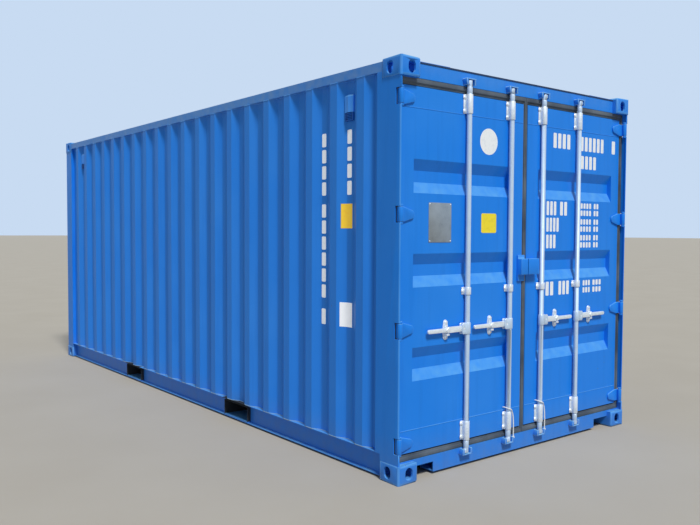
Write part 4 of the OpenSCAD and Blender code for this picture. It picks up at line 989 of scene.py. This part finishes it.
def fold_line(sign, z):
    """Line of a side wall's outer face at one height: its flats, joined by slopes."""
    near, far = CREST_FLAT / 2, CREST_FLAT / 2 + SLOPE_RUN
    points = []
    for i in range(FOLDS):
        middle = NEAR_TROUGH + FOLD_PITCH * (i - 0.5)
        for dy, rise in ((-far, 0), (-near, SLOPE_RISE), (near, SLOPE_RISE), (far, 0)):
            points.append(Vector((sign * (rise - TROUGH_X), middle + dy, z)))
    line = []
    for a, b in zip(points, points[1:]):
        line += between(a, b, 0.012)[:-1]
    return line + [points[-1]]


# At the foot the coat is rubbed through to the pale grey primer, and the bead's pale grey is also a painted
# highlight, so it reads as a light line; the head bead gets the paler edge finish, a painted highlight
primer_and_highlight_seam = enamel_finish("enamel_rubbed_to_primer_with_painted_highlight", "#8FA9C2", "#6F8FB4", "#C6CDD2")
for side, sign in SIDES:
    for end, z, coat in (("foot", 0.1665, primer_and_highlight_seam), ("head", 2.5135, chalk_and_highlight_enamel)):
        seam = bead(f"{side}_wall_{end}_bead", fold_line(sign, z), 0.003)
        finish_piece(seam, "container", coat, 60)

# %% [markdown]
# A dark navy strip runs along the header's top edge between the castings: a thin box whose front edges
# are rounded.

# %% Dark strip along the header
HEADER_FACE, HEADER_TOP, CASTING_X = -2.985, 2.577, 1.057
STRIP_H, STRIP_OUT = 0.010, 0.004
header_strip = start("dark_header_strip", bpy.ops.mesh.primitive_cube_add, size=1,
                location=(0, HEADER_FACE - STRIP_OUT / 2 + 0.0005, HEADER_TOP - STRIP_H / 2),
                scale=(2 * CASTING_X, STRIP_OUT + 0.001, STRIP_H))
choose(header_strip, lambda edge: all(point.co.y < HEADER_FACE for point in edge.verts), "EDGE")
bpy.ops.mesh.bevel(offset=0.002, segments=3)
finish_piece(header_strip, "container", header_strip_navy)

# %% [markdown]
# ## Yard and light
# The container stands on a plain pale floor under a clear sky. One sun shines on the doors from ahead
# and a little from the left, 53 degrees up, and the sky fills the shaded side. The sky that the lens
# and mirror-like surfaces see is brighter than the one that lights the scene, so nothing is over-lit.

# %% Floor, sky and sun
yard = start("yard_floor", bpy.ops.mesh.primitive_plane_add, size=400.0, location=(0, 0, -0.001))
yard.data.materials.append(concrete)

sky = bpy.data.worlds.new("pale_sky")
sky.use_nodes = True
bpy.context.scene.world = sky
net = sky.node_tree
net.nodes.clear()
seen = add(net, "ShaderNodeLightPath")
direct = add(net, "ShaderNodeMath", {0: seen.outputs["Is Camera Ray"],
                                     1: seen.outputs["Is Glossy Ray"]}, operation="MAXIMUM")
direct = add(net, "ShaderNodeMath", {0: direct, 1: seen.outputs["Is Transmission Ray"]},
             operation="MAXIMUM")
fill = add(net, "ShaderNodeBackground", {"Color": colour("#DCE8FA"), "Strength": 0.29})
show = add(net, "ShaderNodeBackground", {"Color": colour("#C8DBF2"), "Strength": 1.0})
both = add(net, "ShaderNodeMixShader", {0: direct, 1: fill, 2: show})
add(net, "ShaderNodeOutputWorld", {"Surface": both})

SUN_HEIGHT, SUN_TO_THE_LEFT = 53, 17  # degrees above the ground, and to the left of straight ahead
sun_data = bpy.data.lights.new("sun", "SUN")
sun_data.energy = 2.8
sun_data.angle = math.radians(11)  # wider than the real sun, so that shadows end softly
sun = bpy.data.objects.new("sun", sun_data)
bpy.context.scene.collection.objects.link(sun)
sun.rotation_euler = (math.radians(90 - SUN_HEIGHT), 0, math.radians(-SUN_TO_THE_LEFT))
bpy.context.scene.view_settings.view_transform = "Standard"
print("sun shines along", [round(v, 2) for v in sun.rotation_euler.to_matrix() @ Vector((0, 0, -1))])
